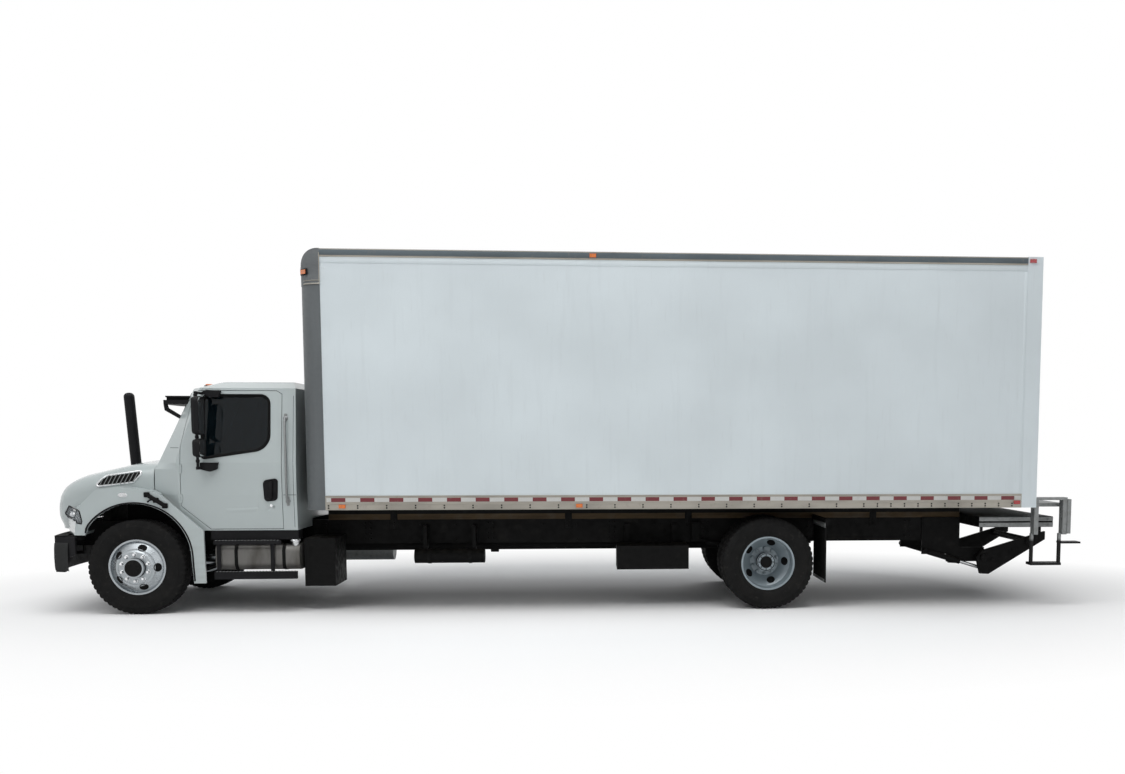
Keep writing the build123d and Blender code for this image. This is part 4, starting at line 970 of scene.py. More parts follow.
class TRUCK_OT_box_rails(bpy.types.Operator):
    """Reflective tape, bolts and ribs of the freight box's rails."""
    bl_idname = "truck.box_rails"
    bl_label = "Box rails and tape"

    def execute(self, context):
        size = sizes()
        low, top = RAIL_LOW.z, RAIL_HIGH.z
        ridge = low + 0.066
        crest = low + RAIL_HEIGHT
        tape_low = low + TAPE_LIFT
        first = station(TAPE_START)
        for side, s in SIDES:
            ribs = side_bars(Shape(), s, RAIL_LOW.x, RAIL_HIGH.x, BOX_HALF, (
                (ridge - 0.004, ridge + 0.004, 0.006, 0.0015), (low, low + 0.009, 0.006, 0.0015),
                (crest - 0.007, crest, 0.005, 0.0012), (top - 0.084, top - 0.078, 0.004, 0.0012),
                (top - 0.010, top - 0.001, 0.005, 0.0015)))
            ribs.piece(f"rail_ribs_{side}", "chassis", "rail_metal", "aluminium_rail")
            cover = side_bars(Shape(), s, RAIL_LOW.x, RAIL_HIGH.x, BOX_HALF - 0.010,
                              ((top - 0.066, top + 0.001, 0.0145, 0.002),))
            cover.piece(f"rail_cover_{side}", "chassis", "slate_rail", "aluminium_rail")
            tape = Shape()
            x, end, red = RAIL_LOW.x + 0.012, first, False
            while x < RAIL_HIGH.x - 0.02:
                tape.paint = int(red)
                side_bars(tape, s, x, end, BOX_HALF, ((tape_low, tape_low + size.tape_height, TAPE_THICK, 0),))
                x, red = end, not red
                end = min(x + size.tape_pitch / 2 * (0.98 if red else 1.02), RAIL_HIGH.x - 0.01)
            tape.piece(f"tape_{side}", "chassis", ("tape_white", "tape_red"), "aluminium_rail")
            bolts = Shape()
            bolts.paint = 1
            x = first - 0.028
            while x < RAIL_HIGH.x - 0.02:
                for z in (low + 0.022, low + 0.047):
                    bolts.nut((x, s * BOX_HALF, z), (0, s, 0), 0.018, 0.0060)
                x += size.tape_pitch / (2 if x > RAIL_HIGH.x - 1.9 else 1)
            bolts.paint = 0
            for x in paced(RAIL_LOW.x + 0.03, RAIL_HIGH.x - 0.02, PANEL_RIVET_STEP):
                bolts.dome((x, s * BOX_HALF, crest - 0.018), (0, s, 0), 0.0045, 0.0025)
                bolts.dome((x, s * BOX_HALF, top - 0.055), (0, s, 0), 0.0050, 0.0025)
            bolts.piece(f"rail_bolts_{side}", "chassis", ("rail_metal", "casting_black"), "aluminium_rail")
        return {"FINISHED"}


# Cab: outlines in stations and heights, and the radius of each corner
WINDOW = ((0.706, 2.349), (1.402, 2.349), (1.407, 1.784), (0.706, 1.679))
WINDOW_TURNS = (0.060, 0.090, 0.170, 0.030)
POCKET = ((1.290, 1.318), (1.395, 1.335), (1.395, 1.120), (1.285, 1.105))
POCKET_TURNS = (0.040, 0.035, 0.040, 0.045)
HANDLE = ((1.338, 1.440), (1.500, 1.466), (1.490, 1.222), (1.352, 1.206))
HANDLE_TURNS = (0.045, 0.035, 0.050, 0.040)
LAMP = ((-0.850, 1.075), (-0.790, 1.165), (-0.680, 1.120), (-0.610, 1.010), (-0.640, 0.975), (-0.790, 0.985))
LOUVRE = ((-0.478, 1.366), (-0.060, 1.420), (0.020, 1.505), (0.008, 1.540), (-0.345, 1.486), (-0.412, 1.436))
LOUVRE_TURNS = (0.020, 0.040, 0.020, 0.012, 0.030, 0.030)
# Outlines seen from the front: places across and heights
WINDSHIELD = ((-0.800, 1.690), (0.800, 1.690), (0.735, 2.370), (-0.735, 2.370))
GRILLE = ((-0.405, 0.940), (0.405, 0.940), (0.447, 1.130), (0.385, 1.222), (-0.385, 1.222), (-0.447, 1.130))
# How the handle's patch and shell dish: the share of their outline, and how far out they stand there
PATCH_RINGS = ((0.01, 0.0008), (0.3, 0.0008), (0.6, 0.0008), (0.97, 0.0008), (1, 0))
GRIP_RINGS = ((0.01, 0.006), (0.5, 0.006), (0.86, 0.007), (0.93, 0.012), (0.98, 0.011), (1, 0))
# The doors' skin is furthest out at its knee, and leans in by so much a metre below and above
DOOR_KNEE = 1.282
DOOR_OUT = 1.105
LEAN_BELOW = 0.0524
LEAN_ABOVE = 0.0108


def door_face(z):
    """How far the doors' outer skin stands out at a height under the windows."""
    return DOOR_OUT - (LEAN_BELOW * (DOOR_KNEE - z) if z < DOOR_KNEE else LEAN_ABOVE * (z - DOOR_KNEE))


class TRUCK_OT_door_trim(bpy.types.Operator):
    """Window seals, handles and body lines of the doors."""
    bl_idname = "truck.door_trim"
    bl_label = "Door trim"

    def execute(self, context):
        for side, s in SIDES:
            body = f"door_{side}"
            door = Skin(body)
            seal = Shape()
            ring = [door.side(s, x, z) for x, z in swollen(side_outline(WINDOW, WINDOW_TURNS, 9, 0.06), 0.008)]
            seal.tube(ring, 0.0095, 8, closed=True)
            seal.tube([p + Vector((0, -s * 0.010, 0)) + (Vector((station(1.05), p.y, 2.02)) - p).normalized() * 0.012
                       for p in ring], 0.013, 8, closed=True)
            seal.piece(f"window_seal_{side}", body, "soft_rubber", "plastic_black")
            plate = Shape()
            pocket = swollen(side_outline(POCKET, POCKET_TURNS, 6, 0.03), 0.007)
            plate.sheet([[(x, s * (door_face(z) + out), z) for x, z in drawn_in(pocket, (station(1.34), 1.22), share)]
                         for share, out in PATCH_RINGS])
            plate.piece(f"door_plate_{side}", body, "cab_paint", "white_paint", crease=math.radians(80))
            grip = Shape()
            shell = side_outline(HANDLE, HANDLE_TURNS, 7, 0.04)
            mid = [sum(p[k] for p in shell) / len(shell) for k in (0, 1)]
            grip.sheet([[(x, s * (door_face(at[1]) + out), z)
                         for (x, z), at in zip(drawn_in(shell, mid, share), shell + shell[:1])]
                        for share, out in GRIP_RINGS])
            bar = rounded([(station(1.402), 1.245), (station(1.436), 1.245), (station(1.442), 1.430),
                           (station(1.404), 1.428)], 0.016, 4)
            face = s * door_face(1.34)
            grip.prism(bar, "Y", face + s * 0.013, face + s * 0.027, 0.005)
            for z in (1.262, 1.412):
                grip.block((station(1.408), face, z - 0.011), (station(1.434), face + s * 0.018, z + 0.011), 0.003)
            grip.piece(f"door_handle_{side}", body, "trim_plastic", "plastic_black")
            lock = Shape()
            lock.lathe([(0.014, 0), (0.014, 0.004), (0.011, 0.006), (0.0005, 0.006)],
                       door.side(s, station(1.420), 1.165), (0, s, 0), 20)
            lock.piece(f"door_lock_{side}", body, "chrome_trim", "wheel_white")
            crease = Shape()
            rows = []
            for k in range(21):
                z = 1.118 + 0.036 * (k / 20) ** 2.2
                high = 0.006 * math.sin(math.pi * min(1, k / 20 + 0.08)) ** 0.7
                rows.append([door.side(s, station(0.94 + 0.52 * k / 20), z + dz, out) for dz, out in (
                    (-0.030, 0.0002), (-0.012, high * 0.55), (0.0, high), (0.010, high * 0.5), (0.020, 0.0002))])
            crease.sheet(rows)
            crease.piece(f"door_crease_{side}", body, "cab_paint", "white_paint", crease=math.radians(70))
        return {"FINISHED"}


class TRUCK_OT_cab_trim(bpy.types.Operator):
    """Windshield seal, wipers, grab rails, seams and roof markers of the cab."""
    bl_idname = "truck.cab_trim"
    bl_label = "Cab trim"

    def execute(self, context):
        cab = Skin("cab_shell")
        glass = Skin("cab_glass")
        seal = Shape()
        seal.tube([cab.ahead(y, z, 0.001) for y, z in swollen(densify(WINDSHIELD, 0.08), 0.010)], 0.012, 8, closed=True)
        seal.tube([glass.ahead(y * 0.985, 2.03 + (z - 2.03) * 0.975, 0.004)
                   for y, z in densify(rounded(WINDSHIELD, 0.05, 4), 0.08)], 0.016, 6, closed=True)
        seal.piece("windshield_seal", "chassis", "soft_rubber", "plastic_black")
        wipers = Shape()
        for foot in (-0.52, 0.18):
            pivot = cab.ahead(foot, 1.655)
            wipers.lathe([(0.022, -0.010), (0.022, 0.020), (0.012, 0.030), (0.0005, 0.030)], pivot, (-0.6, 0, 0.8), 16)
            tip = glass.ahead(foot + 0.30, 2.02, 0.020)
            wipers.tube([pivot + Vector((-0.012, 0, 0.020)), glass.ahead(foot + 0.10, 1.76, 0.030), tip], 0.0065, 8)
            blade = [glass.ahead(foot + 0.30 + d * 0.42, 2.02 + d * 0.60, 0.009)
                     for d in (-0.48, -0.3, -0.15, 0, 0.15, 0.3, 0.42)]
            wipers.tube(blade, 0.0055, 6)
            clear = Vector((-0.004, 0, 0))
            wipers.tube([blade[1] + clear, tip, blade[-2] + clear], 0.0045, 6)
        wipers.piece("wipers", "chassis", "trim_plastic", "plastic_black")
        for side, s in SIDES:
            rail = Shape()
            x = station(1.600)
            foot, head = cab.side(s, x, 1.215), cab.side(s, x - 0.02, 2.105)
            away = Vector((0, s * 0.052, 0))
            bends = [end + away * share + Vector((0, 0, run * rise)) for end, run, shares in (
                (foot, 1, ((0, 0), (0.7, 0.006), (1, 0.035))), (head, -1, ((1, 0.035), (0.7, 0.006), (0, 0))))
                for share, rise in shares]
            rail.tube(bends, 0.0125, 14)
            for end in (foot, head):
                rail.lathe([(0.026, 0), (0.026, 0.006), (0.018, 0.012), (0.012, 0.014)], end, (0, s, 0), 18)
                for dz in (-0.036, 0.036):
                    rail.nut(end + Vector((0, s * 0.004, dz)), (0, s, 0), 0.014, 0.006)
                rail.prism(oblong(end.x, end.z, 0.016, 0.052, 0.012, 3), "Y", end.y - s * 0.004, end.y + s * 0.004)
            rail.piece(f"grab_rail_{side}", "chassis", "galvanised", "steel_bright")
            seams = Shape()
            for radius, line in ((0.0028, [(min(1.552 + 0.139 * k / 8, 1.688), 1.282) for k in range(9)]),
                                 (0.0026, [(0.330 + 0.125 * k / 6, 1.789) for k in range(7)]),
                                 (0.0024, [(1.660, 0.93 + 1.42 * k / 24) for k in range(25)])):
                seams.tube([cab.side(s, station(x), z, -0.001) for x, z in line], radius, 6)
            seams.piece(f"cab_seams_{side}", "chassis", "soft_rubber", "plastic_black")
        roof = Shape()
        for y in (-0.55, -0.28, 0, 0.28, 0.55):
            spot = cab.above(station(0.58 + 0.09 * abs(y)), y)
            for paint, x, wide, low, high, bevel in ((0, 0.045, 0.055, -0.020, 0.004, 0.006),
                                                     (1, 0.036, 0.046, 0.000, 0.020, 0.010)):
                roof.paint = paint
                roof.block(spot + Vector((-x, -wide, low)), spot + Vector((x, wide, high)), bevel)
        roof.piece("roof_markers", "chassis", ("trim_plastic", "lens_amber"), "lamp_amber")
        return {"FINISHED"}


class TRUCK_OT_nose(bpy.types.Operator):
    """The hood and headlamps with the photo's rounder nose and swept-back corners."""
    bl_idname = "truck.nose"
    bl_label = "Hood nose"

    def execute(self, context):
        for node, (finish, slot) in RESHAPED.items():
            data = NODES[node].data.copy()
            for vert in data.vertices:
                vert.co = fuller_nose(vert.co)
            data.update()
            data.materials.clear()
            data.materials.append(FINISHES[finish])
            made = add_object(f"{node}_skin", data)
            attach(made, "hood")
            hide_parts(node)
        return {"FINISHED"}


def louvre_bar(ring, centre, out, low, high, share):
    """The points of one slanted bar that lie inside the louvre's ring, on its crowned mesh."""
    run = []
    for step in range(60):
        x = low + (high - low) * share + 0.0016 * step
        z = 1.36 + 0.0032 * step
        crossed = sum((a.z > z) != (b.z > z) and x < a.x + (b.x - a.x) * (z - a.z) / (b.z - a.z)
                      for a, b in zip(ring, ring[1:] + ring[:1]))
        if crossed % 2:
            spot = Vector((x, centre.y, z))
            reach = max(1 - 2 * (spot - centre).length / (high - low), 0)
            spot.y += (0.007 + 0.010 * reach - (spot - centre).dot(out)) / out.y
            run.append(spot)
    return run


class TRUCK_OT_hood_trim(bpy.types.Operator):
    """Louvres, marker lamps, latches, headlamp bowls and grille surround of the hood."""
    bl_idname = "truck.hood_trim"
    bl_label = "Hood trim"

    def louvre(self, hood, side, s):
        """The rim, the dark mesh and the bars of one louvre."""
        rim = Shape()
        ring = [hood.side(s, x, z, 0.001) for x, z in side_outline(LOUVRE, LOUVRE_TURNS, 5, 0.05)]
        rim.tube(ring, 0.0120, 8, closed=True)
        rim.piece(f"louvre_rim_{side}", "hood", "bright_steel", "white_paint")
        centre = sum(ring, Vector()) / len(ring)
        out = sum(((a - centre).cross(b - centre) for a, b in zip(ring, ring[1:])), Vector()).normalized()
        if out.y * s < 0:
            out = -out
        dark = Shape()
        dark.sheet([[centre + (p - centre) * reach + out * (0.003 + 0.010 * (1 - reach ** 2)) for p in ring + ring[:1]]
                    for reach in (0.02, 0.3, 0.5, 0.7, 0.85, 0.98)])
        dark.piece(f"louvre_mesh_{side}", "hood", "soft_rubber", "plastic_black")
        bars = Shape()
        low, high = min(p.x for p in ring), max(p.x for p in ring)
        for k in range(11):
            run = louvre_bar(ring, centre, out, low, high, (k - 0.6) / 11)
            if len(run) > 3:
                bars.tube(run[:-1:4] + run[-1:], 0.0045, 6)
        bars.piece(f"louvre_bars_{side}", "hood", "galvanised", "plastic_grey")

    def latch(self, hood, side, s):
        """The rubber latch between a fender and the cab."""
        latch = Shape()
        start, end = hood.side(s, station(0.136), 1.300, 0.010), hood.side(s, station(0.345), 1.165, 0.010)
        run = end - start
        latch.tube([start, start + run * 0.35, start + run * 0.7, end], 0.024, 8)
        latch.tube([start + run * 0.42, hood.side(s, station(0.175), 1.235, 0.008),
                    hood.side(s, station(0.150), 1.212, 0.006)], 0.008, 8)
        for share in (0.06, 0.5, 0.94):
            latch.brick(start + run * share, (0.027, 0.020, 0.027), 0.007)
        latch.piece(f"hood_latch_{side}", "hood", "soft_rubber", "rubber_black")

    def lamps(self, lamps, side, s):
        """The bezel and the two bowls of a headlamp."""
        bezel = Shape()
        ring = swollen(side_outline(LAMP, 0.012, 3, 0.04), -0.010)
        bezel.tube([lamps.side(s, x, z) for x, z in ring], 0.006, 6, closed=True)
        bezel.piece(f"lamp_bezel_{side}", "hood", "grey_plastic", "plastic_grey")
        bowl = Shape()
        for x, z, radius in ((-0.755, 1.090, 0.036), (-0.712, 1.040, 0.030)):
            seat = lamps.side(s, station(x), z, -0.055)
            bowl.lathe([(0.0005, -0.020), (radius * 0.55, -0.012), (radius * 0.85, 0.010), (radius, 0.032)], seat,
                       (-0.35, s, 0), 28)
            bowl.lathe([(0.012, -0.016), (0.012, 0.010), (0.0005, 0.016)], seat, (-0.35, s, 0), 14)
        bowl.piece(f"lamp_bowls_{side}", "hood", "chrome_trim", "lamp_clear")

    def grille(self, hood):
        """The grille's bright surround and its bars."""
        frame = Shape()
        frame.tube([hood.ahead(y * 1.02, 1.08 + (z - 1.08) * 1.04, 0.002)
                    for y, z in densify(rounded(GRILLE, 0.05, 5), 0.06)], 0.012, 10, closed=True)
        frame.piece("grille_frame", "hood", "bright_steel", "steel_bright")
        mesh = Shape()
        low, high = box_of("grille")
        for row in range(7):
            z = low.z + 0.030 + row * 0.040
            mesh.tube([(low.x + 0.006 + 0.02 * (y / 0.4) ** 2, y, z) for y in (-0.37, -0.2, 0, 0.2, 0.37)], 0.006, 8)
        for column in range(13):
            y = -0.36 + column * 0.06
            mesh.tube([(low.x + 0.020, y, low.z + 0.02), (low.x + 0.020, y, high.z - 0.03)], 0.004, 6)
        mesh.piece("grille_bars", "hood", "grey_plastic", "plastic_grey")

    def execute(self, context):
        hood = Skin("hood")
        lamps = Skin("headlamps")
        for side, s in SIDES:
            self.louvre(hood, side, s)
            marker = Shape()
            spot = hood.side(s, station(-0.104), 1.289)
            for paint, wide, high, start, end, bevel in ((0, 0.050, 0.024, -0.010, 0.004, 0.002),
                                                         (1, 0.038, 0.017, 0, 0.012, 0.005)):
                marker.paint = paint
                oval = [(spot.x + math.cos(a) * wide, spot.z + math.sin(a) * high) for a in around(28)]
                marker.prism(oval, "Y", spot.y + s * start, spot.y + s * end, bevel)
            marker.piece(f"side_marker_{side}", "hood", ("bright_steel", "lens_clear"), "lamp_clear")
            self.latch(hood, side, s)
            self.lamps(lamps, side, s)
            lip = Shape()
            arch = [(AXLE_X - math.cos(a) * 0.600, 0.605 + math.sin(a) * 0.600)
                    for a in (math.radians(28 + 150 * k / 29) for k in range(30))]
            lip.tube([hood.side(s, x, z) for x, z in arch + [(station(0.604), 0.52), (station(0.613), 0.36)]], 0.009, 8)
            lip.piece(f"arch_lip_{side}", "hood", "trim_plastic", "plastic_black")
        self.grille(hood)
        return {"FINISHED"}


CHANNELS = (-0.62, -0.31, 0.0, 0.31, 0.62)


class TRUCK_OT_seats(bpy.types.Operator):
    """Padded seats with piping and channels, and their plinths."""
    bl_idname = "truck.seats"
    bl_label = "Seats"

    def execute(self, context):
        for name, y, half in (("driver", -0.520, 0.250), ("bench", 0.450, 0.400)):
            for part, thin, inset, x0, x1, z0, z1 in (("cushion", 2, 0.004, 0.985, 1.470, 1.246, 1.362),
                                                      ("back", 0, 0.006, 1.440, 1.540, 1.366, 1.978)):
                low = (station(x0), y - half + inset, z0)
                high = (station(x1), y + half - inset, z1)
                pad = Shape()
                pad.pillow(low, high, CHANNELS, thin)
                for seam in (-0.5, 0.5):
                    pad.piping(low, high, thin, seam)
                made = pad.piece(f"{name}_{part}", "chassis", "seat_cloth", "seat_cloth")
                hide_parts("seats")
            plinth = Shape()
            folds = [(1.100, 1.400, 0.055, 1.060 + k * 0.030, 1.060 + k * 0.030 + 0.018, 0.008) for k in range(5)]
            for x0, x1, inset, z0, z1, bevel in ((1.110, 1.390, 0.065, 1.041, 1.215, 0.012), *folds,
                                                 (1.020, 1.450, 0.030, 1.222, 1.246, 0.006)):
                plinth.block((station(x0), y - half + inset, z0), (station(x1), y + half - inset, z1), bevel)
            made = plinth.piece(f"{name}_plinth", "chassis", "trim_plastic", "plastic_black")
            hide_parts("seats")
        return {"FINISHED"}


HAND_HOLES = 5
BETWEEN_HOLES = math.radians(36)
# Rings of the dark sheets that paint the shade in the hand holes: share of the hole, and lift off the disc
HOLE_RINGS = ((0.02, 0.002), (0.78, 0.0015), (0.86, 0.004), (0.94, 0.005), (1.0, 0.001))
HUB_RINGS = (0.004, 0.02, 0.035, 0.05, 0.062, 0.072, 0.080, 0.086, 0.090)


class TRUCK_OT_wheel_faces(bpy.types.Operator):
    """Dark sheets over the hand holes, which paint the shade seen through them, and hub centres of the disc wheels."""
    bl_idname = "truck.wheel_faces"
    bl_label = "Wheel faces"

    def execute(self, context):
        for side, s in SIDES:
            for body, node, x in ((f"front_wheel_{side}", f"wheel_front_{side}", AXLE_X),
                                  (f"rear_wheels_{side}", f"wheels_rear_{side}", REAR_AXLE.x)):
                disc = Skin(node)

                def on_disc(across, up, lift):
                    """A place on the disc's turned face, found between the hand holes."""
                    reach = math.hypot(across, up)
                    face = disc.side(s, x + reach * math.cos(BETWEEN_HOLES), AXLE_Z - reach * math.sin(BETWEEN_HOLES))
                    return Vector((x + across, face.y + s * lift, AXLE_Z + up))

                # Black sheets over the hand holes paint the shade seen through them
                holes = Shape()
                for a in around(HAND_HOLES):
                    out, turn = Vector((math.cos(a), -math.sin(a))), Vector((math.sin(a), math.cos(a)))
                    rows = []
                    for reach, lift in HOLE_RINGS:
                        ring = [out * (0.221 + 0.034 * reach * math.cos(b)) + turn * 0.047 * reach * math.sin(b)
                                for b in around(24)]
                        rows.append([on_disc(spot.x, spot.y, lift) for spot in ring + ring[:1]])
                    holes.sheet(rows)
                holes.piece(f"hand_hole_shade_{body}", body, "soft_rubber", "rubber_black")
                if x == AXLE_X:
                    hub = Shape()
                    turns = around(36)
                    hub.sheet([[on_disc(radius * math.cos(b), radius * math.sin(b), 0.002) for b in turns + turns[:1]]
                               for radius in HUB_RINGS])
                    for a in around(8):
                        hub.nut(on_disc(0.052 * math.cos(a), 0.052 * math.sin(a), 0.0), (0, s, 0), 0.016, 0.007)
                    hub.piece(f"hub_cover_{body}", body, "casting_black", "cast_black")
        return {"FINISHED"}


# Front end, tanks and steps
# Heights of the bumper's cover, and how far it stands out there
BUMPER_ROWS = ((0.474, -0.004), (0.482, 0.006), (0.520, 0.011), (0.620, 0.014), (0.720, 0.011), (0.770, 0.006),
               (0.782, -0.004))
MIRRORS = ((1.925, 2.330), (1.690, 1.890))
TANK_WRAP = ((0.480, 0.462), (1.000, 0.461), (1.060, 0.478), (1.093, 0.530), (1.094, 0.682), (1.062, 0.734),
             (1.000, 0.751), (0.480, 0.750))
# Treads of the steps: height, inner edge, first and last station
STEP_ROWS = ((0.4552, 1.098, 0.83, 1.66), (0.7932, 1.103, 0.83, 1.50))
FILLER_STATION = 1.650


def bumper_plan():
    """The bumper's front edge as stations and places across, from its left end to its right."""
    curve = [(-0.860 - 0.150 * (1 - (y / 1.08) ** 2), y) for y in (-1.082 + 2.164 * k / 40 for k in range(41))]
    return [(-0.700, -1.127), (-0.780, -1.104)] + curve + [(-0.780, 1.104), (-0.700, 1.127)]


class TRUCK_OT_front_end(bpy.types.Operator):
    """Bumper cover and step pad, mirror glass, tank straps, step treads and filler."""
    bl_idname = "truck.front_end"
    bl_label = "Bumper, mirrors and tanks"

    def bumper(self):
        """The bumper's crowned cover and the step pad on top of it."""
        plan = bumper_plan()
        cover = Shape()
        rows = []
        for z, out in BUMPER_ROWS:
            row = []
            for k, (x, y) in enumerate(plan):
                back, ahead = plan[max(k - 1, 0)], plan[min(k + 1, len(plan) - 1)]
                normal = Vector((-(ahead[1] - back[1]), ahead[0] - back[0])).normalized()
                row.append((station(x + normal.x * out), y + normal.y * out, z))
            rows.append(row)
        cover.sheet(rows)
        cover.piece("bumper_cover", "chassis", "grey_plastic", "plastic_grey")
        pad = Shape()
        front = [(station(x), y) for x, y in plan[1:-1]]
        rear = [(station(x + 0.080 + 0.030 * abs(y)), y * 0.96) for x, y in plan[1:-1]]
        pad.sheet([[(x + dx, y, z) for x, y in line] for line, dx, z in (
            (front, 0, 0.8425), (front, -0.002, 0.852), (rear, 0, 0.852), (rear, 0, 0.8425))])
        for x, y in front[6:-6:2]:
            pad.block((x + 0.012, y - 0.010, 0.850), (x + 0.060, y + 0.010, 0.854), 0.002)
        for s in (-1, 1):
            pad.block((station(-0.740), s * 1.000, 0.802), (station(-0.580), s * 1.086, 0.852), 0.008)
        pad.piece("bumper_pad", "chassis", "soft_rubber", "rubber_black")

    def execute(self, context):
        self.bumper()
        for side, s in SIDES:
            glass, rim = Shape(), Shape()
            for low, high in MIRRORS:
                spot = (s * 1.280, (low + high) / 2)
                half = (high - low) / 2
                pane = oblong(*spot, s * 0.090, half - 0.012, 0.042, 6)
                glass.prism(pane, "X", station(0.7805), station(0.7835), 0.001)
                edge = oblong(*spot, s * 0.096, half - 0.006, 0.047, 6)
                rim.tube([(station(0.781), y, z) for y, z in edge], 0.004, 6, closed=True)
            glass.piece(f"mirror_glass_{side}", f"door_{side}", "chrome_trim", "steel_bright")
            for z in (1.5750, 1.650, 1.905, 2.345):
                rim.lathe([(0.019, -0.016), (0.021, 0), (0.019, 0.016)], (station(0.700), s * 1.200, z), (0, 0, 1), 16)
            rim.piece(f"mirror_rim_{side}", f"door_{side}", "trim_plastic", "plastic_black")
            straps = Shape()
            for x in (1.030, 1.535):
                straps.sheet([[(station(x + dx), s * y, z) for y, z in TANK_WRAP] for dx in (-0.018, 0.018)])
            straps.piece(f"tank_straps_{side}", "chassis", "chassis_paint", "frame_black")
            tread = Shape()
            for z, inner, start, end in STEP_ROWS:
                for x in paced(start, end, 0.034):
                    tread.block((station(x), s * inner, z - 0.001), (station(x + 0.016), s * 1.142, z + 0.004), 0.0012)
            tread.piece(f"step_tread_{side}", "chassis", "galvanised", "frame_black")
        neck = Shape()
        neck.lathe([(0.040, -0.020), (0.040, 0.030), (0.047, 0.034), (0.047, 0.062), (0.040, 0.070), (0.0005, 0.071)],
                   (station(FILLER_STATION), -1.020, 0.742), (0, -0.35, 1), 28)
        for a in around(12):
            neck.brick((station(FILLER_STATION) + math.cos(a) * 0.046, math.sin(a) * 0.043 - 1.037, 0.789),
                       (0.003, 0.003, 0.010), 0.001)
        neck.piece("filler_cap", "chassis", "bright_steel", "tank_metal")
        return {"FINISHED"}


class TRUCK_OT_box_front(bpy.types.Operator):
    """Edge bands, lamp housings, seams and rivets of the freight box's front."""
    bl_idname = "truck.box_front"
    bl_label = "Box front"

    def execute(self, context):
        wall = Skin("front_wall")
        rivets = Shape()
        for z in (1.20, 1.62, 2.02, 2.42, 2.82, 3.22, 3.46):
            for k in range(21):
                rivets.dome(wall.ahead(-1.0 + 0.1 * k, z), (-1, 0, 0), 0.006, 0.0028)
        for s in (-1, 1):
            for k in range(44):
                rivets.dome(wall.side(s, station(2.030), 1.16 + 0.0525 * k), (0, s, 0), 0.0055, 0.0028)
        rivets.piece("front_rivets", "chassis", "box_front_sheet", "front_skin")
        ribs = Shape()
        front = station(1.801)
        for y in (-0.61, 0.0, 0.61):
            ribs.block((front - 0.005, y - 0.022, 1.17), (front + 0.003, y + 0.022, 3.47), 0.003)
        ribs.block((front - 0.006, -1.05, 1.127), (front + 0.004, 1.05, 1.165), 0.003)
        ribs.piece("front_ribs", "chassis", "box_front_sheet", "front_skin")
        caps = Skin("corner_caps")
        arc = [(1.797 + 0.215 * (1 - math.cos(a)), 3.871 - 0.215 * (1 - math.sin(a)))
               for a in (math.radians(8 + 74 * k / 12) for k in range(13))]
        for side, s in SIDES:
            band = Shape()
            ledge = [caps.side(s, station(1.8 + 0.24 * k / 12 + 0.0004), 3.505, 0.003) for k in range(3, 13)]
            band.tube(ledge, 0.007, 8)
            band.tube([p + Vector((0, 0, 0.034)) for p in ledge], 0.004, 6)
            band.tube([caps.side(s, station(2.0385), 3.50 + 0.36 * k / 10, 0.001) for k in range(10)], 0.005, 6)
            band.piece(f"cap_band_{side}", "chassis", "rail_metal", "aluminium_rail")
            edge = Shape()
            edge.tube([(station(x) - 0.001, s * 1.045, z) for x, z in arc], 0.008, 8)
            edge.tube([(station(x + 0.010), s * 1.130, z - 0.004) for x, z in arc], 0.005, 6)
            edge.piece(f"cap_edge_{side}", "chassis", "soft_rubber", "rubber_black")
            house = Shape()
            spot = Vector((station(1.8625), s * 1.2335, 3.632))
            house.block(spot - Vector((0.004, 0.060, 0.034)), spot + Vector((0.008, 0.060, 0.034)), 0.004,
                        Matrix.Rotation(math.radians(-45 * s), 4, "Z"))
            house.piece(f"corner_lamp_house_{side}", "chassis", "trim_plastic", "plastic_black")
        return {"FINISHED"}


# Chassis
FRAME_FACE = 0.432
WHEELBASE = 6.822
# Stations, heights, shifts along the frame, and the size across and the height of the bolts there
BOLT_PLATES = (((-0.82, 1.05, 2.30, 3.70, 5.10, 6.20, 7.45, 8.62, 9.18), (0.740, 0.800, 0.860, 0.920), (-0.03, 0.03),
                0.026, 0.012), ((2.0, 2.9, 3.3, 4.3, 4.7, 5.6, 8.0), (0.72, 0.90), (0,), 0.024, 0.011))
# Station of the axle, bottom and top of its clamps, and their distance from the middle
SPRINGS = ((0.0, 0.350, 0.540, 0.425), (WHEELBASE, 0.430, 0.670, 0.470))
CHAMBER = [(0.0005, -0.075), (0.060, -0.070), (0.078, -0.045), (0.080, -0.010), (0.088, -0.006), (0.088, 0.008),
           (0.080, 0.012), (0.080, 0.060), (0.066, 0.085), (0.0005, 0.092)]


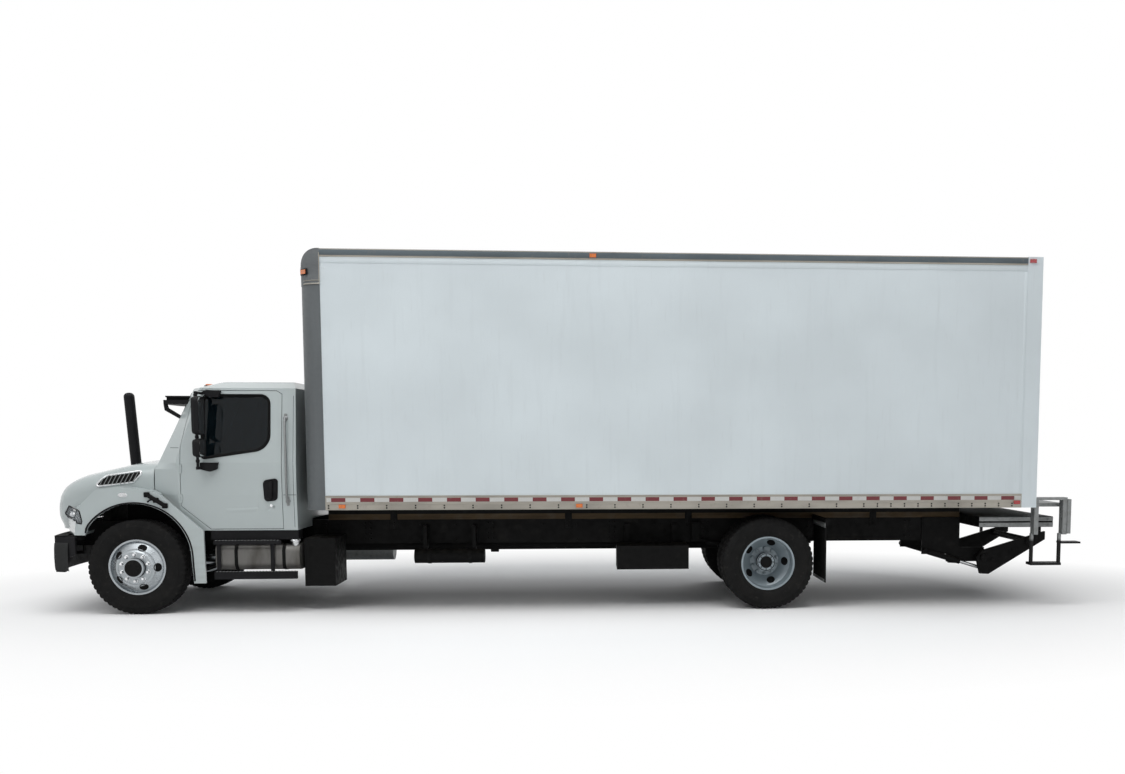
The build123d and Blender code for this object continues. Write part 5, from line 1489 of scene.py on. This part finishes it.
class TRUCK_OT_chassis_trim(bpy.types.Operator):
    """Bolts, brackets, U-bolts, brake chambers and hangers of the chassis."""
    bl_idname = "truck.chassis_trim"
    bl_label = "Chassis trim"

    def execute(self, context):
        bolts, straps, air, flaps = Shape(), Shape(), Shape(), Shape()
        for s in (-1, 1):
            for places, heights, shifts, across, height in BOLT_PLATES:
                for x in places:
                    for z in heights:
                        for dx in shifts:
                            bolts.nut((station(x + dx), s * FRAME_FACE, z), (0, s, 0), across, height)
            for x in (2.6, 4.6, 6.0, 8.2):
                face = s * (FRAME_FACE + 0.010)
                bolts.block((station(x - 0.04), s * FRAME_FACE, 0.860), (station(x + 0.04), face, 1.120), 0.003)
                for z in (0.885, 0.925, 1.080):
                    bolts.nut((station(x), face, z), (0, s, 0), 0.024, 0.011)
            for axle, base, top, across in SPRINGS:
                y = s * across
                for x in (station(axle - 0.075), station(axle + 0.075)):
                    for dy in (-0.050, 0.050):
                        straps.tube([(x, y + dy, base), (x, y + dy, top - 0.02), (x, y + dy * 0.8, top)], 0.010, 8)
                        straps.nut((x, y + dy, base - 0.006), (0, 0, -1), 0.028, 0.020)
                    straps.tube([(x, y - 0.04, top), (x, y + 0.04, top)], 0.010, 8)
                straps.block((station(axle - 0.10), y - 0.062, base), (station(axle + 0.10), y + 0.062, base + 0.018),
                             0.004)
            air.lathe(CHAMBER, (station(WHEELBASE - 0.175), s * 0.640, 0.560), (0.25, s * 0.1, 1), 28)
            flaps.block((station(7.448), s * 0.60, 0.905), (station(7.456), s * 1.225, 0.960), 0.003)
            flaps.block((station(7.448), s * 0.62, 0.300), (station(7.454), s * 1.21, 0.330), 0.002)
            for k in range(7):
                flaps.nut((station(7.448), s * (0.64 + 0.09 * k), 0.932), (-1, 0, 0), 0.018, 0.008)
        for x in (3.02, 3.48):
            air.lathe([(0.0845, -0.02), (0.087, -0.018), (0.087, 0.018), (0.0845, 0.02)], (station(x), -0.560, 0.552),
                      (1, 0, 0), 36)
        bolts.piece("frame_bolts", "chassis", "chassis_paint", "frame_black")
        straps.piece("spring_clamps", "chassis", "casting_black", "cast_black")
        air.piece("brake_chambers", "chassis", "casting_black", "cast_black")
        flaps.piece("flap_brackets", "chassis", "galvanised", "steel_bright")
        return {"FINISHED"}


DOOR_SECTIONS = 7
GATE_PIVOT = 9.495
REAR_RIVET_STEP = 0.1524


class TRUCK_OT_rear_trim(bpy.types.Operator):
    """Door hinges, latch, lamp bezels, plate and liftgate details at the back."""
    bl_idname = "truck.rear_trim"
    bl_label = "Rear door and liftgate trim"

    def door(self, back):
        """Hinges, latch and seal of the roll-up door."""
        low, high = box_of("rollup_door")
        face = high.x
        section = (high.z - low.z) / DOOR_SECTIONS
        hinges = Shape()
        for k in range(1, DOOR_SECTIONS):
            z = low.z + section * k
            for y in (-1.05, -0.53, 0.0, 0.53, 1.05):
                hinges.block((face, y - 0.030, z - 0.050), (face + 0.004, y + 0.030, z + 0.050), 0.002)
                hinges.tube([(face + 0.006, y - 0.028, z), (face + 0.006, y + 0.028, z)], 0.006, 8)
                for dz in (-0.035, 0.035):
                    for dy in (-0.018, 0.018):
                        hinges.dome((face + 0.004, y + dy, z + dz), (1, 0, 0), 0.005, 0.003)
        hinges.piece("door_hinges", "chassis", "galvanised", "steel_bright")
        latch = Shape()
        z = low.z + section * 0.62
        latch.block((face, -0.090, z - 0.075), (face + 0.006, 0.090, z + 0.075), 0.003)
        latch.block((face, -0.012, low.z + 0.02), (face + 0.014, 0.012, z - 0.06), 0.002)
        for bar in (((0.010, -0.020, -0.060), (0.034, -0.020, -0.045), (0.034, 0.030, 0.055)),
                    ((0, -0.34, -0.02), (0.040, -0.34, 0), (0.040, -0.34, 0.20), (0, -0.34, 0.22))):
            latch.tube([(face + out, y, z + dz) for out, y, dz in bar], 0.008, 10)
        latch.piece("door_latch", "chassis", "bright_steel", "steel_bright")
        seal = Shape()
        for y in (-1.187, 1.187):
            seal.block((back - 0.012, y - 0.008, low.z), (back + 0.003, y + 0.008, high.z), 0.002)
        seal.block((back - 0.012, -1.19, high.z - 0.002), (back + 0.003, 1.19, high.z + 0.014), 0.002)
        seal.piece("door_seal", "chassis", "soft_rubber", "rubber_black")

    def gate(self):
        """The deck's ribs and edges, and the pins of the liftgate's arms."""
        x = station(GATE_PIVOT)
        x0, x1 = x - 0.195, x + 0.675
        deck, pins = Shape(), Shape()
        for k in range(40):
            deck.brick((x0 + 0.012 + (x1 - x0 - 0.024) * k / 39, 0, 1.00125), (0.004, 0.945, 0.00125), 0)
        for s in (-1, 1):
            side_bars(deck, s, x0, x1, 0.950, ((0.884, 0.932, 0.007, 0.002), (0.949, 0.996, 0.007, 0.002)))
            for bolt in (x0 + 0.06, x1 - 0.06):
                for z in (0.908, 0.972):
                    deck.nut((bolt, s * 0.957, z), (0, s, 0), 0.022, 0.008)
            pins.lathe([(0.060, -0.034), (0.060, 0.0), (0.052, 0.006), (0.044, 0.006), (0.044, 0.001)],
                       (x, s * 0.586, 0.498), (0, s, 0), 36)
            pins.lathe([(0.050, 0.0), (0.050, 0.012), (0.040, 0.018), (0.0005, 0.019)],
                       (x + 0.560, s * 0.585, 0.688), (0, s, 0), 32)
            for along, z in ((0.12, 0.470), (0.36, 0.585)):
                pins.nut((x + along, s * 0.585, z), (0, s, 0), 0.030, 0.014)
        deck.piece("gate_deck_ribs", "gate_arms", "galvanised", "gate_grey")
        pins.piece("gate_pins", "gate_arms", "casting_black", "gate_grey")

    def execute(self, context):
        back = BOX_REAR
        self.door(back)
        lamps = Shape()
        for y in (-1.12, -0.16, 0.0, 0.16, 1.12):
            for paint, inner, outer, wide, low, high, bevel in (
                    (0, -0.001, 0.007, 0.060, 3.735, 3.785, 0.003), (1, 0.004, 0.018, 0.050, 3.742, 3.778, 0.006)):
                lamps.paint = paint
                lamps.block((back + inner, y - wide, low), (back + outer, y + wide, high), bevel)
        lamps.paint = 0
        for s in (-1, 1):
            for k in range(3):
                lamps.lathe([(0.036, -0.020), (0.040, -0.010), (0.040, -0.004), (0.0325, 0.001)],
                            (back + 0.0245, s * (1.010 - 0.110 * k), RAIL_LOW.z + 0.075), (1, 0, 0), 28)
        lamps.piece("rear_lamps", "chassis", ("soft_rubber", "lens_red"), "lamp_red")
        plate = Shape()
        plate.block((back + 0.001, -0.560, 1.140), (back + 0.005, -0.255, 1.290), 0.003)
        plate.piece("plate_blank", "chassis", "galvanised", "steel_bright")
        rivets = Shape()
        for y in (-1.245, 1.245):
            for z in paced(1.20, 3.70, REAR_RIVET_STEP):
                rivets.dome((back, y, z), (1, 0, 0), 0.007, 0.0035)
        rivets.piece("rear_rivets", "chassis", "box_panel", "panel_white")
        self.gate()
        return {"FINISHED"}


# Stage
FLOOR_REACH = (9.0, 5.5)
WORLD_LIGHT = 0.33
# Name, power, width, place and aim
LAMPS = (("key", 340, 9, (-8, -8, 11), (0, 0, 1.5)), ("fill", 130, 10, (9, -12, 7), (1, 0, 1.5)),
         ("top", 1250, 10, (-1, -4, 14), (0, 0, 1)), ("back", 260, 10, (4, 10, 12), (0, 0, 2)))
CAMERA_PLACE = (0.1804, -12.8252, 1.8771)
CAMERA_TURN = (math.pi / 2 - 0.0847, -0.0006, -0.0698)
CAMERA_LENS = {"sensor_width": 36, "lens": 34.022, "shift_x": -0.0912, "shift_y": 0.1272, "clip_end": 500}


def seen_directly(tree):
    """One where a surface is looked at, mirrored or seen through glass, and nothing where it lights the truck."""
    path = new_node(tree, "ShaderNodeLightPath")
    total = path.outputs["Is Camera Ray"]
    for name in ("Is Glossy Ray", "Is Transmission Ray"):
        plus = new_node(tree, "ShaderNodeMath", operation="MAXIMUM")
        tree.links.new(total, plus.inputs[0])
        tree.links.new(path.outputs[name], plus.inputs[1])
        total = plus.outputs[0]
    return total


def mix_shaders(tree, share, first, second, output):
    """Joins two shaders to an output, the second where the share is 1."""
    mix = new_node(tree, "ShaderNodeMixShader")
    tree.links.new(share, mix.inputs["Fac"])
    tree.links.new(first, mix.inputs[1])
    tree.links.new(second, mix.inputs[2])
    tree.links.new(mix.outputs["Shader"], tree.nodes[output].inputs["Surface"])


def show_white(finish):
    """Turns a floor white away from the truck, and leaves it its shade near the truck."""
    tree = finish.tree
    glow = finish.add("ShaderNodeEmission", Color=(1, 1, 1, 1))
    reach = finish.add("ShaderNodeVectorMath", operation="LENGTH")
    finish.link(finish.coords((1 / FLOOR_REACH[0], 1 / FLOOR_REACH[1], 1)), reach.inputs[0])
    fade = finish.between(reach.outputs["Value"], 0.55, 1.0)
    mix_shaders(tree, finish.times(seen_directly(tree), fade), finish.shader.outputs["BSDF"], glow.outputs["Emission"],
                "Material Output")


class TRUCK_OT_stage(bpy.types.Operator):
    """Floor, light and the camera at the photograph's angle."""
    bl_idname = "truck.stage"
    bl_label = "Stage"

    def execute(self, context):
        scene = context.scene
        scene.view_settings.view_transform = "Standard"
        half = sizes().floor_size / 2
        data = bpy.data.meshes.new("floor")
        data.from_pydata([(-half, -half, 0), (half, -half, 0), (half, half, 0), (-half, half, 0)], [], [(0, 1, 2, 3)])
        floor = add_object("floor", data)
        pale = Finish("floor_pale", (0.93, 0.93, 0.93), 0.9, shine=0.1)
        data.materials.append(pale.material)
        show_white(pale)
        world = bpy.data.worlds.new("studio")
        scene.world = world
        world.use_nodes = True
        tree = world.node_tree
        sky = tree.nodes["Background"]
        sky.inputs["Color"].default_value = (0.95, 0.975, 1.0, 1)
        sky.inputs["Strength"].default_value = WORLD_LIGHT
        white = new_node(tree, "ShaderNodeBackground", Color=(1, 1, 1, 1))
        mix_shaders(tree, seen_directly(tree), sky.outputs["Background"], white.outputs["Background"], "World Output")
        for name, power, width, place, aim in LAMPS:
            lamp = bpy.data.lights.new(name, "AREA")
            lamp.energy = power
            lamp.size = width
            made = add_object(name, lamp)
            made.location = place
            made.rotation_euler = (Vector(aim) - Vector(place)).to_track_quat("-Z", "Y").to_euler()
        lens = bpy.data.cameras.new("photo")
        for setting, value in CAMERA_LENS.items():
            setattr(lens, setting, value)
        scene.camera = add_object("photo", lens)
        scene.camera.location = CAMERA_PLACE
        scene.camera.rotation_euler = CAMERA_TURN
        return {"FINISHED"}


OPERATORS = (TRUCK_OT_finishes, TRUCK_OT_tyres, TRUCK_OT_wheel_nuts, TRUCK_OT_box_sides, TRUCK_OT_box_rails,
             TRUCK_OT_box_front, TRUCK_OT_door_trim, TRUCK_OT_cab_trim, TRUCK_OT_nose, TRUCK_OT_hood_trim,
             TRUCK_OT_seats, TRUCK_OT_wheel_faces, TRUCK_OT_front_end, TRUCK_OT_chassis_trim, TRUCK_OT_rear_trim,
             TRUCK_OT_stage)


class TRUCK_PT_looks(bpy.types.Panel):
    """The truck's settings and steps."""
    bl_idname = "TRUCK_PT_looks"
    bl_label = "Box truck"
    bl_space_type = "VIEW_3D"
    bl_region_type = "UI"
    bl_category = "Truck"

    def draw(self, context):
        for group in (context.scene.truck_colours, context.scene.truck_sizes):
            part = self.layout.box()
            for name in group.__annotations__:
                part.prop(group, name)
        for step in OPERATORS:
            self.layout.operator(step.bl_idname)


CLASSES = (TruckColours, TruckSizes, *OPERATORS, TRUCK_PT_looks)


def register():
    """Makes the settings, steps and panel known."""
    for item in CLASSES:
        bpy.utils.register_class(item)
    bpy.types.Scene.truck_colours = bpy.props.PointerProperty(type=TruckColours)
    bpy.types.Scene.truck_sizes = bpy.props.PointerProperty(type=TruckSizes)


def unregister():
    """Takes them away again."""
    del bpy.types.Scene.truck_sizes
    del bpy.types.Scene.truck_colours
    for item in reversed(CLASSES):
        bpy.utils.unregister_class(item)


def main():
    """Runs every step in order."""
    register()
    for step in OPERATORS:
        group, name = step.bl_idname.split(".")
        getattr(getattr(bpy.ops, group), name)()


if __name__ == "__main__":
    main()
